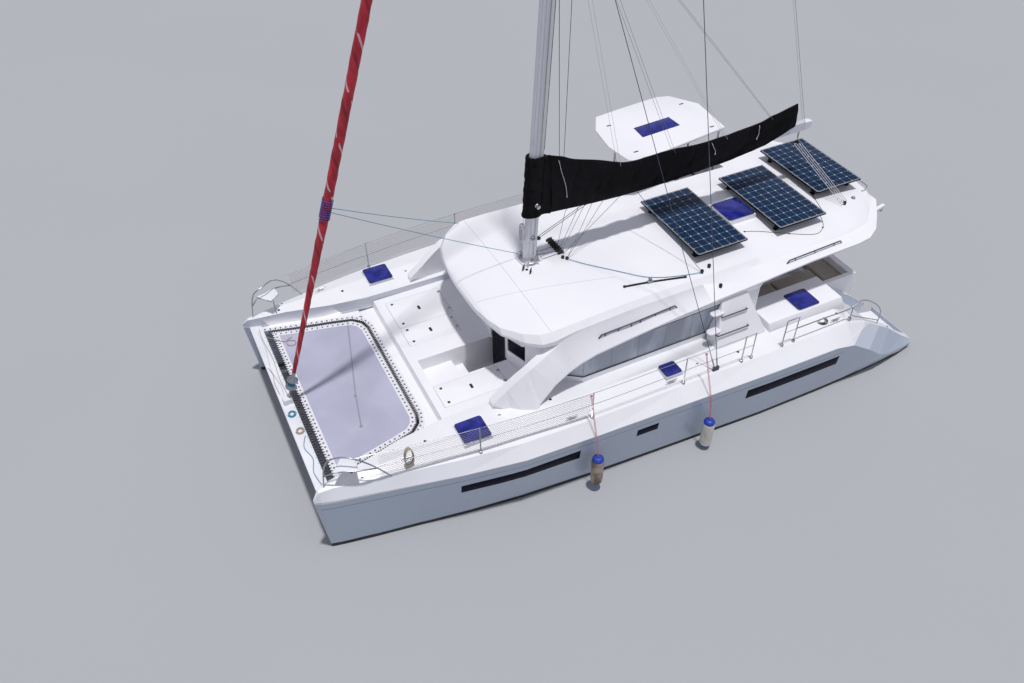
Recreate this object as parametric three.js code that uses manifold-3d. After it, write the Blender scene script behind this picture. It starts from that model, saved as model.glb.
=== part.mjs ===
// Sailing catamaran with a forward cockpit, a raised helm to starboard and a furled rig.
// Millimetres. +X to the bows, +Y to port, +Z up. The origin is on the waterline plane,
// on the centreline, half way between the stems and the stern tips.
import * as THREE from 'three';
import { mergeVertices } from 'three/addons/utils/BufferGeometryUtils.js';
import Module from 'manifold-3d';

const wasm = await Module();
wasm.setup();

// Driving dimensions
const GAP = 0.3;                    // gap between pieces that touch
const CLEAR = 6;                    // running gap round a lid or door
const DECK_Z = 1600;                // gunwale, at the outer edge of the side decks
const FOREDECK_Z = 1500;            // deck between the hulls, forward of the cabin
const LEDGE_Z = 1330;               // ledge that the trampoline is laced to
const WET_DECK_Z = 620;             // underside of the bridgedeck
const SOLE_Z = 780;                 // cabin sole and forward footwell
const COCKPIT_Z = 900;              // aft cockpit sole
const CEILING_Z = 2560;             // underside of the coachroof
const HULL_INNER_Y = 2000;          // inboard face of each hull beside the bridgedeck
const CABIN_Y = 2380;               // outer face of the cabin sides
const WALL = 60;                    // cabin wall thickness
const FRONT_X = 2230;               // outer face of the cabin front
const BULKHEAD_X = -2800;           // aft face of the cabin
const STERN_X = -6100;              // aft end of the bridgedeck
const MAST_X = 1230;                // mast heel, on the coachroof
const MAST_STEP_Z = 3080;
const MAST_TOP_Z = 20600;
const MAST_CHORD = 290;
const MAST_WIDTH = 190;
const MAST_RAKE = 3.4;              // degrees aft of upright
const BOOM_Z = 4270;                // boom axis at the gooseneck
const BOOM_END = [-5450, 4400];     // x and z of the boom's aft end
const STAY_FOOT = [6482, 1560];     // x and z of the forestay at the crossbeam
const STAY_SLOPE = -0.348;          // run per unit of rise
const CHAINPLATE = [-1300, 3230];   // x and y
const HELM_ROOF_Z = 3890;           // underside of the helm hardtop
const SHAFT = { x: -4420, y: 2700, z: -1010 };
const RUDDER = { x: -5560, y: 2700 };

// Colours, each with its roughness and metalness
const finishes = {
  gelcoat: [0xf2f2f4, 0.35, 0],
  beige: [0xd9d4c8, 0.5, 0],
  glass: [0x2a2433, 0.1, 0],
  tint: [0x2b2f8f, 0.12, 0],
  steel: [0xc9ccd0, 0.25, 1],
  alloy: [0xaeb2b6, 0.4, 1],
  net: [0xc5c5d6, 0.8, 0],
  canvas: [0x15161a, 0.9, 0],
  red: [0xa8203a, 0.8, 0],
  panel: [0x10203f, 0.15, 0],
  cushion: [0xb8a98c, 0.85, 0],
  bronze: [0x8f7a4a, 0.4, 1],
  fender: [0xd8d0bf, 0.6, 0],
};
const materials = Object.fromEntries(Object.entries(finishes).map(
  ([name, [color, roughness, metalness]]) =>
    [name, new THREE.MeshStandardMaterial({ name, color, roughness, metalness })],
));

// Solids that can be joined and cut
function solid(geometry) {
  const bare = geometry.clone();
  bare.deleteAttribute('normal');
  bare.deleteAttribute('uv');
  const merged = mergeVertices(bare, 0.01);
  const corners = [];
  for (let i = 0; i < merged.index.count; i += 3) {
    const [a, b, c] = [0, 1, 2].map((k) => merged.index.getX(i + k));
    if (a !== b && b !== c && c !== a) corners.push(a, b, c);
  }
  return new wasm.Manifold(new wasm.Mesh({
    numProp: 3,
    vertProperties: Float32Array.from(merged.attributes.position.array),
    triVerts: Uint32Array.from(corners),
  }));
}

function surface(body) {
  const mesh = body.getMesh();
  const geometry = new THREE.BufferGeometry();
  geometry.setAttribute('position', new THREE.BufferAttribute(mesh.vertProperties, 3));
  geometry.setIndex(new THREE.BufferAttribute(mesh.triVerts, 1));
  return geometry;
}

const join = (first, ...rest) =>
  surface(rest.reduce((body, geometry) => body.add(solid(geometry)), solid(first)));
const cut = (first, ...rest) =>
  surface(rest.reduce((body, geometry) => body.subtract(solid(geometry)), solid(first)));
const common = (first, second) => surface(solid(first).intersect(solid(second)));

// A piece that rests on a shaped surface is cut by that surface, raised by the gap
const seated = (piece, ...carriers) =>
  cut(piece, ...carriers.map((carrier) => carrier.clone().translate(0, 0, GAP)));

function mirrored(geometry) {
  const copy = geometry.index ? geometry.toNonIndexed() : geometry.clone();
  const place = copy.attributes.position;
  for (let i = 0; i < place.count; i += 3) {
    const second = [place.getX(i + 1), -place.getY(i + 1), place.getZ(i + 1)];
    place.setXYZ(i, place.getX(i), -place.getY(i), place.getZ(i));
    place.setXYZ(i + 1, place.getX(i + 2), -place.getY(i + 2), place.getZ(i + 2));
    place.setXYZ(i + 2, ...second);
  }
  return copy;
}

// Plain shapes
function box([x0, x1], [y0, y1], [z0, z1]) {
  return new THREE.BoxGeometry(x1 - x0, y1 - y0, z1 - z0)
    .translate((x0 + x1) / 2, (y0 + y1) / 2, (z0 + z1) / 2);
}

const [X_AXIS, Y_AXIS, Z_AXIS] = [[1, 0, 0], [0, 1, 0], [0, 0, 1]].map((v) => new THREE.Vector3(...v));

// A flat outline carried along one axis. The outline is in the two other axes, in the order x, y, z.
function prism(outline, axis, [low, high]) {
  const shape = new THREE.Shape(outline.map(([u, v]) => new THREE.Vector2(u, v)));
  const geometry = new THREE.ExtrudeGeometry(shape, { depth: high - low, bevelEnabled: false });
  const turn = {
    x: [Y_AXIS, Z_AXIS, X_AXIS],
    y: [X_AXIS, Z_AXIS, Y_AXIS.clone().negate()],
    z: [X_AXIS, Y_AXIS, Z_AXIS],
  }[axis];
  geometry.applyMatrix4(new THREE.Matrix4().makeBasis(...turn));
  const start = { x: [low, 0, 0], y: [0, high, 0], z: [0, 0, low] }[axis];
  return geometry.translate(...start);
}

// A skin over rings of equal count, closed by flat ends. `flat` names the two axes of an end.
function loft(rings, flat = [1, 2]) {
  const count = rings[0].length;
  const corners = [];
  for (let r = 0; r + 1 < rings.length; r += 1) {
    for (let i = 0; i < count; i += 1) {
      const j = (i + 1) % count;
      const [a, b] = [r * count, (r + 1) * count];
      corners.push([a + i, a + j, b + j], [a + i, b + j, b + i]);
    }
  }
  const ends = [[rings[0], 0, false], [rings.at(-1), (rings.length - 1) * count, true]];
  for (const [ring, start, sameWay] of ends) {
    const outline = ring.map((p) => new THREE.Vector2(p[flat[0]], p[flat[1]]));
    const way = THREE.ShapeUtils.area(outline) > 0;
    for (const face of THREE.ShapeUtils.triangulateShape(outline, [])) {
      const turned = THREE.ShapeUtils.area(face.map((i) => outline[i])) > 0;
      const [a, b, c] = face.map((i) => i + start);
      corners.push((turned === way) === sameWay ? [a, b, c] : [a, c, b]);
    }
  }
  const points = rings.flat();
  const volume = corners.reduce((sum, [a, b, c]) => {
    const [p, q, r] = [points[a], points[b], points[c]].map((v) => new THREE.Vector3(...v));
    return sum + p.dot(q.cross(r));
  }, 0);
  const geometry = new THREE.BufferGeometry();
  geometry.setAttribute('position', new THREE.Float32BufferAttribute(points.flat(), 3));
  geometry.setIndex((volume < 0 ? corners.map(([a, b, c]) => [a, c, b]) : corners).flat());
  return geometry;
}

function tube(points, radius, steps = 1, sides = 6) {
  const places = points.map((p) => new THREE.Vector3(...p));
  const path = places.length === 2 ? new THREE.LineCurve3(...places)
    : new THREE.CatmullRomCurve3(places, false, 'centripetal');
  const section = new THREE.Shape(Array.from({ length: sides }, (_, i) => {
    const turn = 2 * Math.PI * i / sides;
    return new THREE.Vector2(radius * Math.cos(turn), radius * Math.sin(turn));
  }));
  return new THREE.ExtrudeGeometry(section, { steps, bevelEnabled: false, extrudePath: path });
}

function lathe(profile, sides = 16) {
  return new THREE.LatheGeometry(profile.map(([r, h]) => new THREE.Vector2(r, h)), sides)
    .rotateX(Math.PI / 2);
}

const group = new THREE.Group();
function add(name, finish, geometry) {
  const mesh = new THREE.Mesh(geometry, materials[finish]);
  mesh.name = name;
  group.add(mesh);
  return mesh;
}
function addPair(name, finish, geometry) {
  add(`port_${name}`, finish, geometry);
  add(`starboard_${name}`, finish, mirrored(geometry));
}

// Hulls: decked, with a bevelled gunwale, a stub keel and steps down to the stern tip.
// Columns: station x, keel z, outer waterline y, knuckle y and z, gunwale y and z,
// crown of the deck y and z, inner deck edge y and z, inner waterline y
const stations = [
  [6810, 1300, 2622, 2640, 1400, 2622, 1440, 2610, 1450, 2600, 1445, 2604],
  [6690, 20, 2640, 2690, 1405, 2600, 1570, 2550, 1590, 2510, 1580, 2600],
  [6450, -330, 2690, 2760, 1400, 2620, 1595, 2530, 1630, 2440, 1610, 2560],
  [5900, -540, 2790, 2870, 1390, 2730, 1600, 2560, 1670, 2350, 1630, 2480],
  [5000, -680, 2930, 3060, 1380, 2900, 1600, 2560, 1700, 2130, 1640, 2310],
  [4200, -740, 3060, 3230, 1375, 3050, 1600, 2600, 1700, 2020, 1640, 2140],
  [3000, -780, 3215, 3430, 1370, 3210, 1600, 2650, 1700, 2000, 1640, 1990],
  [1500, -800, 3330, 3500, 1370, 3270, 1600, 2700, 1690, 2000, 1640, 1930],
  [-500, -800, 3430, 3570, 1370, 3290, 1600, 2700, 1680, 2000, 1640, 1920],
  [-2500, -760, 3520, 3640, 1370, 3310, 1600, 2700, 1680, 2000, 1640, 1920],
  [-4100, -640, 3530, 3670, 1375, 3300, 1600, 2700, 1680, 2000, 1640, 1930],
  [-4620, -570, 3520, 3665, 1250, 3310, 1600, 2700, 1660, 2000, 1630, 1940],
  [-5170, -470, 3500, 3655, 880, 3330, 1420, 2700, 1450, 2000, 1440, 1960],
  [-5650, -370, 3480, 3620, 500, 3350, 1140, 2700, 1150, 2000, 1150, 1990],
  [-6000, -280, 3460, 3560, 330, 3360, 920, 2700, 930, 2000, 930, 2040],
  [-6500, -140, 3440, 3480, 240, 3370, 520, 2700, 530, 2060, 530, 2110],
  [-6910, -20, 3360, 3390, 170, 3350, 240, 2700, 250, 2160, 250, 2200],
];
function hullRing([x, keel, wl, kneeY, kneeZ, deckY, deckZ, crownY, crownZ, innerY, innerZ, innerWl]) {
  const water = Math.max(0, keel + 50);
  const middle = (wl + innerWl) / 2;
  const half = (wl - innerWl) / 2;
  const [bilge, turn] = [0.1, 0.5].map((share) => keel + share * (water - keel));
  const chine = Math.max(WET_DECK_Z - 1, water + 20);
  return [
    [x, middle, keel], [x, middle + 0.6 * half, bilge], [x, middle + 0.92 * half, turn],
    [x, wl, water], [x, kneeY, kneeZ], [x, deckY, deckZ], [x, crownY, crownZ], [x, innerY, innerZ],
    [x, innerY + (x > 4300 ? 0.5 * (innerWl - innerY) : 0), Math.min(chine, innerZ - 60)],
    [x, innerWl, water], [x, middle - 0.92 * half, turn], [x, middle - 0.6 * half, bilge],
  ];
}
const keelFoil = [[1700, 0], [1450, 70], [700, 130], [-300, 100], [-950, 12]];
const keelOutline = (scale, shift) => [
  ...keelFoil.map(([x, y]) => [x * scale + shift, y]),
  ...keelFoil.slice(1).reverse().map(([x, y]) => [x * scale + shift, -y]),
];
const keel = loft([[-1350, 0.8, 120], [-600, 1, 0]].map(([z, scale, shift]) =>
  keelOutline(scale, shift).map(([x, y]) => [x, 2650 + y * scale, z])), [0, 1]);
// Steps from the aft deck to the bathing platform: aft edge x, tread z
const treads = [[-5350, 1250], [-5700, 950], [-6050, 640], [-6860, 180]];
const stepCuts = treads.map(([aft, tread], i) =>
  box([aft, i ? treads[i - 1][0] : -4950], [2090, 3180], [tread, 1800]));
// Crossbeam between the bows, whose ends sit in notches in the hulls
const beam = { x: [6450, 6700], z: [1290, 1370], half: 2560 };
const beamNotch = box([beam.x[0] - GAP, beam.x[1] + GAP], [2200, beam.half + GAP],
  [beam.z[0] - GAP, beam.z[1] + GAP]);
// Ledge along the inner side of each bow, for the lacing of the trampoline
const bowLedge = prism([[4402, 2060], [4402, 1840], [5000, 1950], [5900, 2160], [6448, 2310],
  [6448, 2475], [5900, 2400], [5000, 2200]], 'z', [LEDGE_Z - 60, LEDGE_Z]);
// Frames under the deck hatches: x and y ranges, top z
const hatchFrames = {
  bow: [[3430, 4000], [2310, 2880], 1712],
  side: [[-640, -240], [2700, 3060], 1700],
};
const frameBox = ([x, y, z]) => box(x, y, [z - 120, z]);
const bearingFoot = -450;             // flat foot of each rudder bearing
const bearing = new THREE.CylinderGeometry(44, 44, 150, 12).rotateX(Math.PI / 2)
  .translate(RUDDER.x, RUDDER.y, bearingFoot + 75);
let hull = join(loft(stations.map(hullRing)), keel, bearing, bowLedge, frameBox(hatchFrames.bow),
  frameBox(hatchFrames.side));
hull = cut(hull, beamNotch, ...stepCuts);
addPair('hull', 'gelcoat', hull);
const hulls = [hull, mirrored(hull)];

// Bridgedeck tub: forward ledge, foredeck with its footwell, saloon and aft cockpit
const TUB_Y = HULL_INNER_Y - GAP;
const INSIDE_Y = 1900;
const well = { y: [200, 980], aft: 1940, step: 2900, seat: 3150, front: 3880 };
const deckLids = {                  // x and y ranges of the lids let into the foredeck
  starboard_outer: [[2620, 3850], [-1800, -900]],
  starboard_inner: [[2700, 3850], [-870, -280]],
  port: [[2500, 3880], [1040, 1650]],
};
const LID = 30;
const grown = ([low, high], by) => [low - by, high + by];
const lidRecesses = Object.values(deckLids).map(([x, y]) =>
  box(grown(x, CLEAR), grown(y, CLEAR), [FOREDECK_Z - LID - GAP, FOREDECK_Z + 100]));
const tub = prism([[STERN_X, WET_DECK_Z], [3300, WET_DECK_Z], [3900, 900], [4400, 1230],
  [4400, LEDGE_Z], [4085, LEDGE_Z], [4055, FOREDECK_Z], [STERN_X, FOREDECK_Z]], 'y', [-TUB_Y, TUB_Y]);
const bridgedeck = cut(
  tub,
  box([BULKHEAD_X, 1900], [-INSIDE_Y, INSIDE_Y], [SOLE_Z, 1800]),
  box([1800, well.step], well.y, [SOLE_Z, 1800]),
  box([well.step - 10, well.seat], well.y, [1000, 1800]),
  box([well.seat - 10, well.front], well.y, [1200, 1800]),
  box([STERN_X + 150, BULKHEAD_X + 1], [-INSIDE_Y, INSIDE_Y], [COCKPIT_Z, 1800]),
  ...lidRecesses,
);
add('bridgedeck', 'gelcoat', bridgedeck);

// Lids of the foredeck lockers, hinged at their aft edges
for (const [name, [x, y]] of Object.entries(deckLids)) {
  add(`${name}_locker_lid`, 'gelcoat', box(x, y, [FOREDECK_Z - LID, FOREDECK_Z]));
}

// Cabin walls: one shell round the saloon, open aft, with its windows and doorway cut
const cabinPlan = (inset) => {
  const half = [[FRONT_X - inset, 0], [FRONT_X - inset, 1050 - inset], [2060 - inset, 1560 - inset],
    [1720 - inset, 2030 - inset], [1250 - inset, CABIN_Y - inset], [BULKHEAD_X, CABIN_Y - inset]];
  return [...half, ...half.slice(1).reverse().map(([x, y]) => [x, -y])];
};
const cabinBlock = (inset, z) => prism(cabinPlan(inset), 'z', z);
const doorway = { y: [255, 905], z: [SOLE_Z, 2385] };
const frontWindows = [[-1500, 150], [1010, 1500]];
const windowZ = [1800, 2400];
const frontOpenings = frontWindows.map((y) => box([1700, 2400], y, windowZ));
const sideWindow = prism([[1640, 2130], [1050, 2330], [700, 2400], [-2300, 2480], [-2300, 1800],
  [1640, 1790]], 'y', [-3000, 3000]);
const doorHole = box([1800, 2400], doorway.y, doorway.z);
// The walls' forward corners are lower, where the arch of the roof passes over them
const shoulder = prism([[200, 2562], [1030, 2445], [1250, 2410], [1480, 2430], [1480, 2600], [200, 2600]],
  'y', [2150, 2450]);
const shoulders = [shoulder, mirrored(shoulder)];
const loweredShoulder = shoulder.clone().translate(GAP, -GAP, -GAP);
const cabinShell = cut(cabinBlock(0, [FOREDECK_Z + GAP, CEILING_Z - GAP]), cabinBlock(WALL, [1000, 3000]),
  doorHole, ...frontOpenings, sideWindow, loweredShoulder, mirrored(loweredShoulder));
add('cabin_walls', 'gelcoat', seated(cabinShell, ...hulls));

// Glass, set in the middle of the walls
const glassShell = cut(cabinBlock(15, [1600, 2500]), cabinBlock(WALL - 15, [1000, 3000]));
const paneOf = (hole) => common(glassShell, hole);
add('front_window_starboard', 'glass', paneOf(box([1700, 2400], grown(frontWindows[0], -GAP),
  grown(windowZ, -GAP))));
add('front_window_port', 'glass', paneOf(box([1700, 2400], grown(frontWindows[1], -GAP),
  grown(windowZ, -GAP))));
const sidePane = paneOf(prism([[1640 - GAP, 2130 - GAP], [1050, 2330 - GAP], [700, 2400 - GAP],
  [-2300 + GAP, 2480 - GAP], [-2300 + GAP, 1800 + GAP], [1640 - GAP, 1790 + GAP]], 'y', [1500, 3000]));
addPair('side_window', 'glass', sidePane);

// Forward door, hinged on its port edge and opening into the footwell
const door = { x: [2180, 2220], y: grown(doorway.y, -CLEAR), z: grown(doorway.z, -CLEAR) };
const doorHinges = [1100, 1600, 2100].map((z) =>
  box([2205, 2220], [door.y[1] - 20, doorway.y[1] - GAP], [z, z + 60]));
add('forward_door', 'glass', join(box(door.x, door.y, door.z), ...doorHinges));

// Aft bulkhead with a fixed window and the opening of the sliding door
const BULKHEAD = [BULKHEAD_X - WALL - GAP, BULKHEAD_X - GAP];
const helm = { x: [-4400, BULKHEAD[0] - GAP], y: [-2450, -1200], floor: 1960, console: 260 };
const aftDoorway = [[-250, 750], [COCKPIT_Z + GAP, 2400]];
const bulkheadPlate = prism([[-INSIDE_Y + GAP, COCKPIT_Z + GAP], [INSIDE_Y - GAP, COCKPIT_Z + GAP],
  [INSIDE_Y - GAP, 1800], [CABIN_Y, 1800], [CABIN_Y, CEILING_Z - GAP], [-CABIN_Y, CEILING_Z - GAP],
  [-CABIN_Y, 1800], [-INSIDE_Y + GAP, 1800]], 'x', BULKHEAD);
const doorRail = { z: [2445, 2470], reach: 25 };
add('aft_bulkhead', 'gelcoat', join(cut(bulkheadPlate, box([-3000, -2700], ...aftDoorway)),
  box([BULKHEAD[0] - doorRail.reach, BULKHEAD[0] + 10], [-1120, 790], doorRail.z)));
const doorHangers = [-150, 590].map((y) =>
  box([BULKHEAD[0] - 40, BULKHEAD[0] - CLEAR], [y, y + 60], [doorRail.z[1] + GAP, 2485]));
add('aft_sliding_door', 'glass', join(
  box([BULKHEAD[0] - 70, BULKHEAD[0] - doorRail.reach - CLEAR], [-270, 770], [COCKPIT_Z + CLEAR, 2485]),
  ...doorHangers,
));

// Coachroof: a plate with a lip and a bevel, carried by an arch that sweeps down to each foredeck.
// Columns: x, half width, underside z, lower and upper z of the lip, width of the bevel,
// z at the bevel's top, z on the centreline
const roofRows = [
  [2770, 300, 2720, 2720, 2762, 50, 2790, 2798],
  [2745, 700, 2710, 2710, 2765, 70, 2812, 2830],
  [2680, 1150, 2700, 2700, 2768, 90, 2838, 2870],
  [2580, 1520, 2690, 2690, 2770, 110, 2860, 2905],
  [2290, 1930, 2540, 2670, 2770, 130, 2890, 2950],
  [2020, 2130, 2540, 2660, 2772, 140, 2910, 2980],
  [1800, 2160, 2540, 2650, 2785, 130, 2925, 3000],
  [1300, 2130, 2540, 2640, 2830, 110, 2940, 3030],
  [0, 2080, 2540, 2640, 2850, 110, 2950, 3050],
  [-3000, 2070, 2540, 2640, 2865, 110, 2955, 3050],
  [-3100, 2070, 2650, 2660, 2865, 110, 2955, 3050],
  [-5350, 2060, 2690, 2700, 2860, 110, 2940, 3030],
  [-6060, 1900, 2700, 2710, 2850, 110, 2920, 3000],
  [-6450, 1540, 2710, 2720, 2840, 110, 2905, 2970],
  [-6870, 1060, 2720, 2730, 2830, 100, 2885, 2925],
  [-6945, 650, 2740, 2745, 2810, 60, 2850, 2870],
];
const roofPlate = loft(roofRows.map(([x, half, under, low, lip, bevel, edge, centre]) => {
  const side = [[half - 160, under], [half - 60, low], [half, low + 35], [half, lip],
    [half - bevel, edge], [(half - bevel) * 0.5, (edge + 2 * centre) / 3]];
  return [...side.map(([y, z]) => [x, y, z]), [x, 0, centre],
    ...side.reverse().map(([y, z]) => [x, -y, z])];
}));
// Columns: x, ridge y and z, outer lower edge y and z, inner lower edge y and z
const archRows = [
  [3130, 2235, 1775, 2170, 1550, 2110, 1540],
  [2830, 2235, 2015, 2385, 1560, 2110, 1540],
  [2620, 2250, 2190, 2585, 1560, 2110, 1540],
  [2420, 2265, 2330, 2690, 1560, 2110, 1540],
  [2300, 2265, 2410, 2580, 1715, 2110, 1600],
  [1940, 2200, 2560, 2500, 1985, 2000, 2150],
  [1640, 2150, 2700, 2475, 2160, 1800, 2450],
  [1390, 2125, 2770, 2460, 2265, 1800, 2540],
  [1030, 2115, 2815, 2450, 2355, 1800, 2540],
  [300, 2080, 2850, 2450, 2450, 1800, 2540],
  [-760, 2070, 2855, 2445, 2560, 1800, 2540],
  [-1600, 2070, 2860, 2440, 2630, 1800, 2540],
  [-2862, 2070, 2865, 2430, 2700, 1800, 2540],
  [-2900, 2070, 2865, 2430, 2702, 1800, 2670],
  [-4100, 2070, 2865, 2410, 2770, 1800, 2680],
  [-5350, 2060, 2860, 2400, 2790, 1800, 2710],
  [-5700, 2020, 2855, 2350, 2790, 1700, 2715],
  [-6060, 1900, 2850, 2150, 2785, 1500, 2720],
  [-6450, 1540, 2840, 1760, 2780, 1100, 2725],
  [-6870, 1060, 2830, 1290, 2775, 600, 2735],
];
const archTop = 185;                  // width of its level top, where it stands free of the roof
const arch = loft(archRows.map(([x, ridgeY, ridgeZ, y, z, innerY, innerZ]) => {
  const besideCabin = x > BULKHEAD_X - 80 && x < 1500;
  const under = besideCabin ? [2376, Math.min(z + 5, innerZ)] : [y - 20, z - 5];
  return [[x, ridgeY, ridgeZ], [x, y + 12, z + 50], [x, y, z], [x, ...under], [x, innerY, innerZ],
    [x, ridgeY - archTop, ridgeZ - 5]];
}));
const cabinEnvelope = cut(cabinBlock(-GAP, [1400, CEILING_Z]), ...shoulders);
const bulkheadSpace = box([BULKHEAD[0] - GAP, BULKHEAD_X + 1], [-2500, 2500], [1400, CEILING_Z]);
const mastStep = box([1020, 1440], [-160, 160], [2950, MAST_STEP_Z]);
const helmCut = box([helm.x[0] - 50, helm.x[1] + GAP], [helm.y[0] - 150, helm.y[1] + 50], [2000, 3200]);
const hatchHole = { x: [-3800, -3110], y: [150, 860] };
const roofHatchFrame = box(hatchHole.x, hatchHole.y, [2900, 3120]);
const coachroof = seated(cut(join(roofPlate, arch, mirrored(arch), mastStep, roofHatchFrame),
  cabinEnvelope, bulkheadSpace, helmCut), ...hulls, bridgedeck);
add('coachroof', 'gelcoat', coachroof);

// Deck and roof hatches, each a tinted pane in a frame, hinged at its forward edge
const hatchLid = (x, y, z) => box(x, y, [z + GAP, z + 28]);
addPair('bow_hatch', 'tint', hatchLid(...hatchFrames.bow));
addPair('side_hatch', 'tint', hatchLid(...hatchFrames.side));
add('roof_hatch', 'tint', hatchLid(hatchHole.x, hatchHole.y, 3120));

// Coamings of the aft cockpit on the hull decks; the port one carries the aft hatch
const coamingTop = 1850;
const coaming = cut(
  prism([[2010, 1500], [2860, 1500], [2860, 1720], [2800, coamingTop], [2010, coamingTop]], 'x',
    [-5040, BULKHEAD[0] - 60]),
  prism([[-5100, 1400], [-4990, 1400], [-4830, 1900], [-5100, 1900]], 'y', [1900, 3000]),
);
addPair('coaming', 'gelcoat', seated(coaming, hull));
add('aft_hatch', 'tint', hatchLid([-4310, -3720], [2210, 2770], coamingTop));

// Moulded boarding steps between the port side deck and the coachroof
const [foot, top] = [1600, 2620];
const wing = loft([2840, 2400].map((outer, i) => (i
  ? [[-2500, 2200, top], [-2500, outer, top], [-1900, outer, top], [-1900, 2200, top]]
  : [[-2900, 2450, foot], [-2900, outer, foot], [-1600, outer, foot], [-1600, 2450, foot]])), [0, 1]);
add('boarding_steps', 'gelcoat', cut(seated(cut(wing, cabinBlock(-GAP, [1400, 2700])), hull),
  coachroof.clone().translate(0, 0, -GAP)));

// Aft cockpit seat and table, and the saloon's galley block
add('cockpit_seat', 'cushion', join(
  box([STERN_X + 150 + GAP, -5300], [-1800, 1800], [COCKPIT_Z + GAP, 1350]),
  box([-5400, -3100], [1250, INSIDE_Y - GAP], [COCKPIT_Z + GAP, 1350]),
));
add('cockpit_table', 'beige', join(box([-4900, -3700], [250, 1000], [1560, 1600]),
  box([-4380, -4220], [560, 690], [COCKPIT_Z + GAP, 1580])));
add('saloon_furniture', 'beige', join(
  box([-300, 1500], [-INSIDE_Y + GAP, -1300], [SOLE_Z + GAP, 1680]),
  box([-2300, 1500], [-INSIDE_Y + GAP, -1500], [SOLE_Z + GAP, 1300]),
));

// Raised helm to starboard: a tub let into the coachroof, with console, bench, wheel and hardtop
const consoleFace = helm.x[1] - helm.console;
const helmTub = join(
  box(helm.x, helm.y, [helm.floor - 60, helm.floor]),
  box([consoleFace, helm.x[1]], helm.y, [helm.floor - 60, 3000]),
  box(helm.x, [helm.y[0], helm.y[0] + 60], [helm.floor - 60, 2600]),
  box([-4300, helm.x[1]], [-2380, -1350], [COCKPIT_Z + GAP, helm.floor - 30]),
);
const helmStation = seated(cut(helmTub,
  box([-4500, -2700], [-2760, GAP - INSIDE_Y], [COCKPIT_Z, coamingTop + GAP])), ...hulls);
add('helm_station', 'gelcoat', helmStation);
add('helm_seat', 'cushion', join(box([-4180, -3700], [-2300, -1350], [helm.floor + GAP, 2500]),
  box([-4260, -4160], [-2300, -1350], [helm.floor + GAP, 2950])));
const wheelAt = { x: -3250, y: -1850, z: 2750 };
const wheel = join(
  new THREE.TorusGeometry(330, 14, 6, 24).rotateY(Math.PI / 2),
  ...[0, 120, 240].map((turn) => new THREE.BoxGeometry(14, 14, 330).translate(0, 0, 165)
    .rotateX(turn * Math.PI / 180)),
  lathe([[0, -30], [40, -30], [40, 30], [20, 30], [20, consoleFace - wheelAt.x - GAP],
    [0, consoleFace - wheelAt.x - GAP]], 12).rotateY(Math.PI / 2),
).translate(wheelAt.x, wheelAt.y, wheelAt.z);
add('steering_wheel', 'steel', wheel);
const helmRoofPlan = [[-1740, -1100], [-1640, -1780], [-1750, -2540], [-2060, -3070], [-2820, -3160],
  [-3830, -3250], [-4140, -3160], [-4560, -2520], [-4450, -1330], [-1990, -970]];
add('helm_roof', 'gelcoat', prism(helmRoofPlan, 'z', [HELM_ROOF_Z, HELM_ROOF_Z + 60]));
const helmPosts = [[-2100, -1260, 2700], [-2100, -2200, 2600], [-4340, -1400, 1930], [-4340, -2420, 1930]];
const postTops = helmPosts.map(([x, y]) => [x, y, HELM_ROOF_Z - 15]);
add('helm_roof_frame', 'steel', seated(cut(join(
  ...helmPosts.map((foot, i) => tube([foot, postTops[i]], 24)),
  ...[[0, 1], [1, 3], [3, 2], [2, 0]].map(([a, b]) => tube([postTops[a], postTops[b]], 20)),
), box([-5000, -1000], [-3000, -500], [HELM_ROOF_Z - GAP, HELM_ROOF_Z + 100])), coachroof, helmStation));

// Crossbeam with its raised centre fitting, and the trampoline with its lacing
const crossbeam = join(
  box(beam.x, [-beam.half, beam.half], beam.z),
  box([6460, 6640], [-90, 90], [1300, STAY_FOOT[1] - 60]),
);
add('crossbeam', 'alloy', crossbeam);
const netOutline = [[4440, 1740], [5000, 1860], [5900, 2070], [6290, 2180]];
const net = prism([...netOutline.map(([x, y]) => [x, y]), ...netOutline.slice().reverse()
  .map(([x, y]) => [x, -y])], 'z', [LEDGE_Z - 20, LEDGE_Z - 8]);
const lacing = [];
for (let y = -1400; y <= 1400; y += 400) {
  lacing.push(box([4400 + GAP, 4460], [y - 6, y + 6], [LEDGE_Z - 20, LEDGE_Z - 8]));
  lacing.push(box([6280, beam.x[0] - GAP], [y - 6, y + 6], [LEDGE_Z - 20, LEDGE_Z - 8]));
}
add('trampoline', 'net', join(net, ...lacing));

// Rails: bow pulpits with a seat, stanchions with their wires, and the stern rails
const pulpitRail = (radius) => join(
  tube([[5380, 2820, 1540], [5720, 2820, 2050], [5980, 2730, 2260], [6200, 2590, 2275],
    [6430, 2530, 2200], [6590, 2540, 1500]], radius, 18, 8),
  tube([[5620, 2822, 1930], [5960, 2785, 1995], [6350, 2640, 1995], [6530, 2540, 1880]], radius, 10, 8),
);
const pulpit = join(
  pulpitRail(14),
  tube([[6080, 2400, 1560], [6090, 2430, 2000]], 12, 1),
  prism([[6380, 2640], [5960, 2785], [5930, 2540], [6140, 2370]], 'z', [1985, 2012]),
);
addPair('pulpit', 'steel', seated(pulpit, hull));
const stanchions = [[3770, 3060], [1535, 3225], [-520, 3245], [-1910, 3255], [-2150, 3255]];
const WIRES = [1960, 2270];
const post = ([x, y], top = WIRES[1] + 10) => join(
  tube([[x, y, 1560], [x, y, top]], 13, 1),
  new THREE.CylinderGeometry(34, 40, 60, 10).rotateX(Math.PI / 2).translate(x, y, 1620),
);
const wireStart = (z) => (z > 2000 ? [6000, 2720, z] : [5640, 2822, z]);
const wireRun = (z, radius = 5) =>
  tube([wireStart(z), ...stanchions.map(([x, y]) => [x, y, z])], radius, 14, 8);
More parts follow.
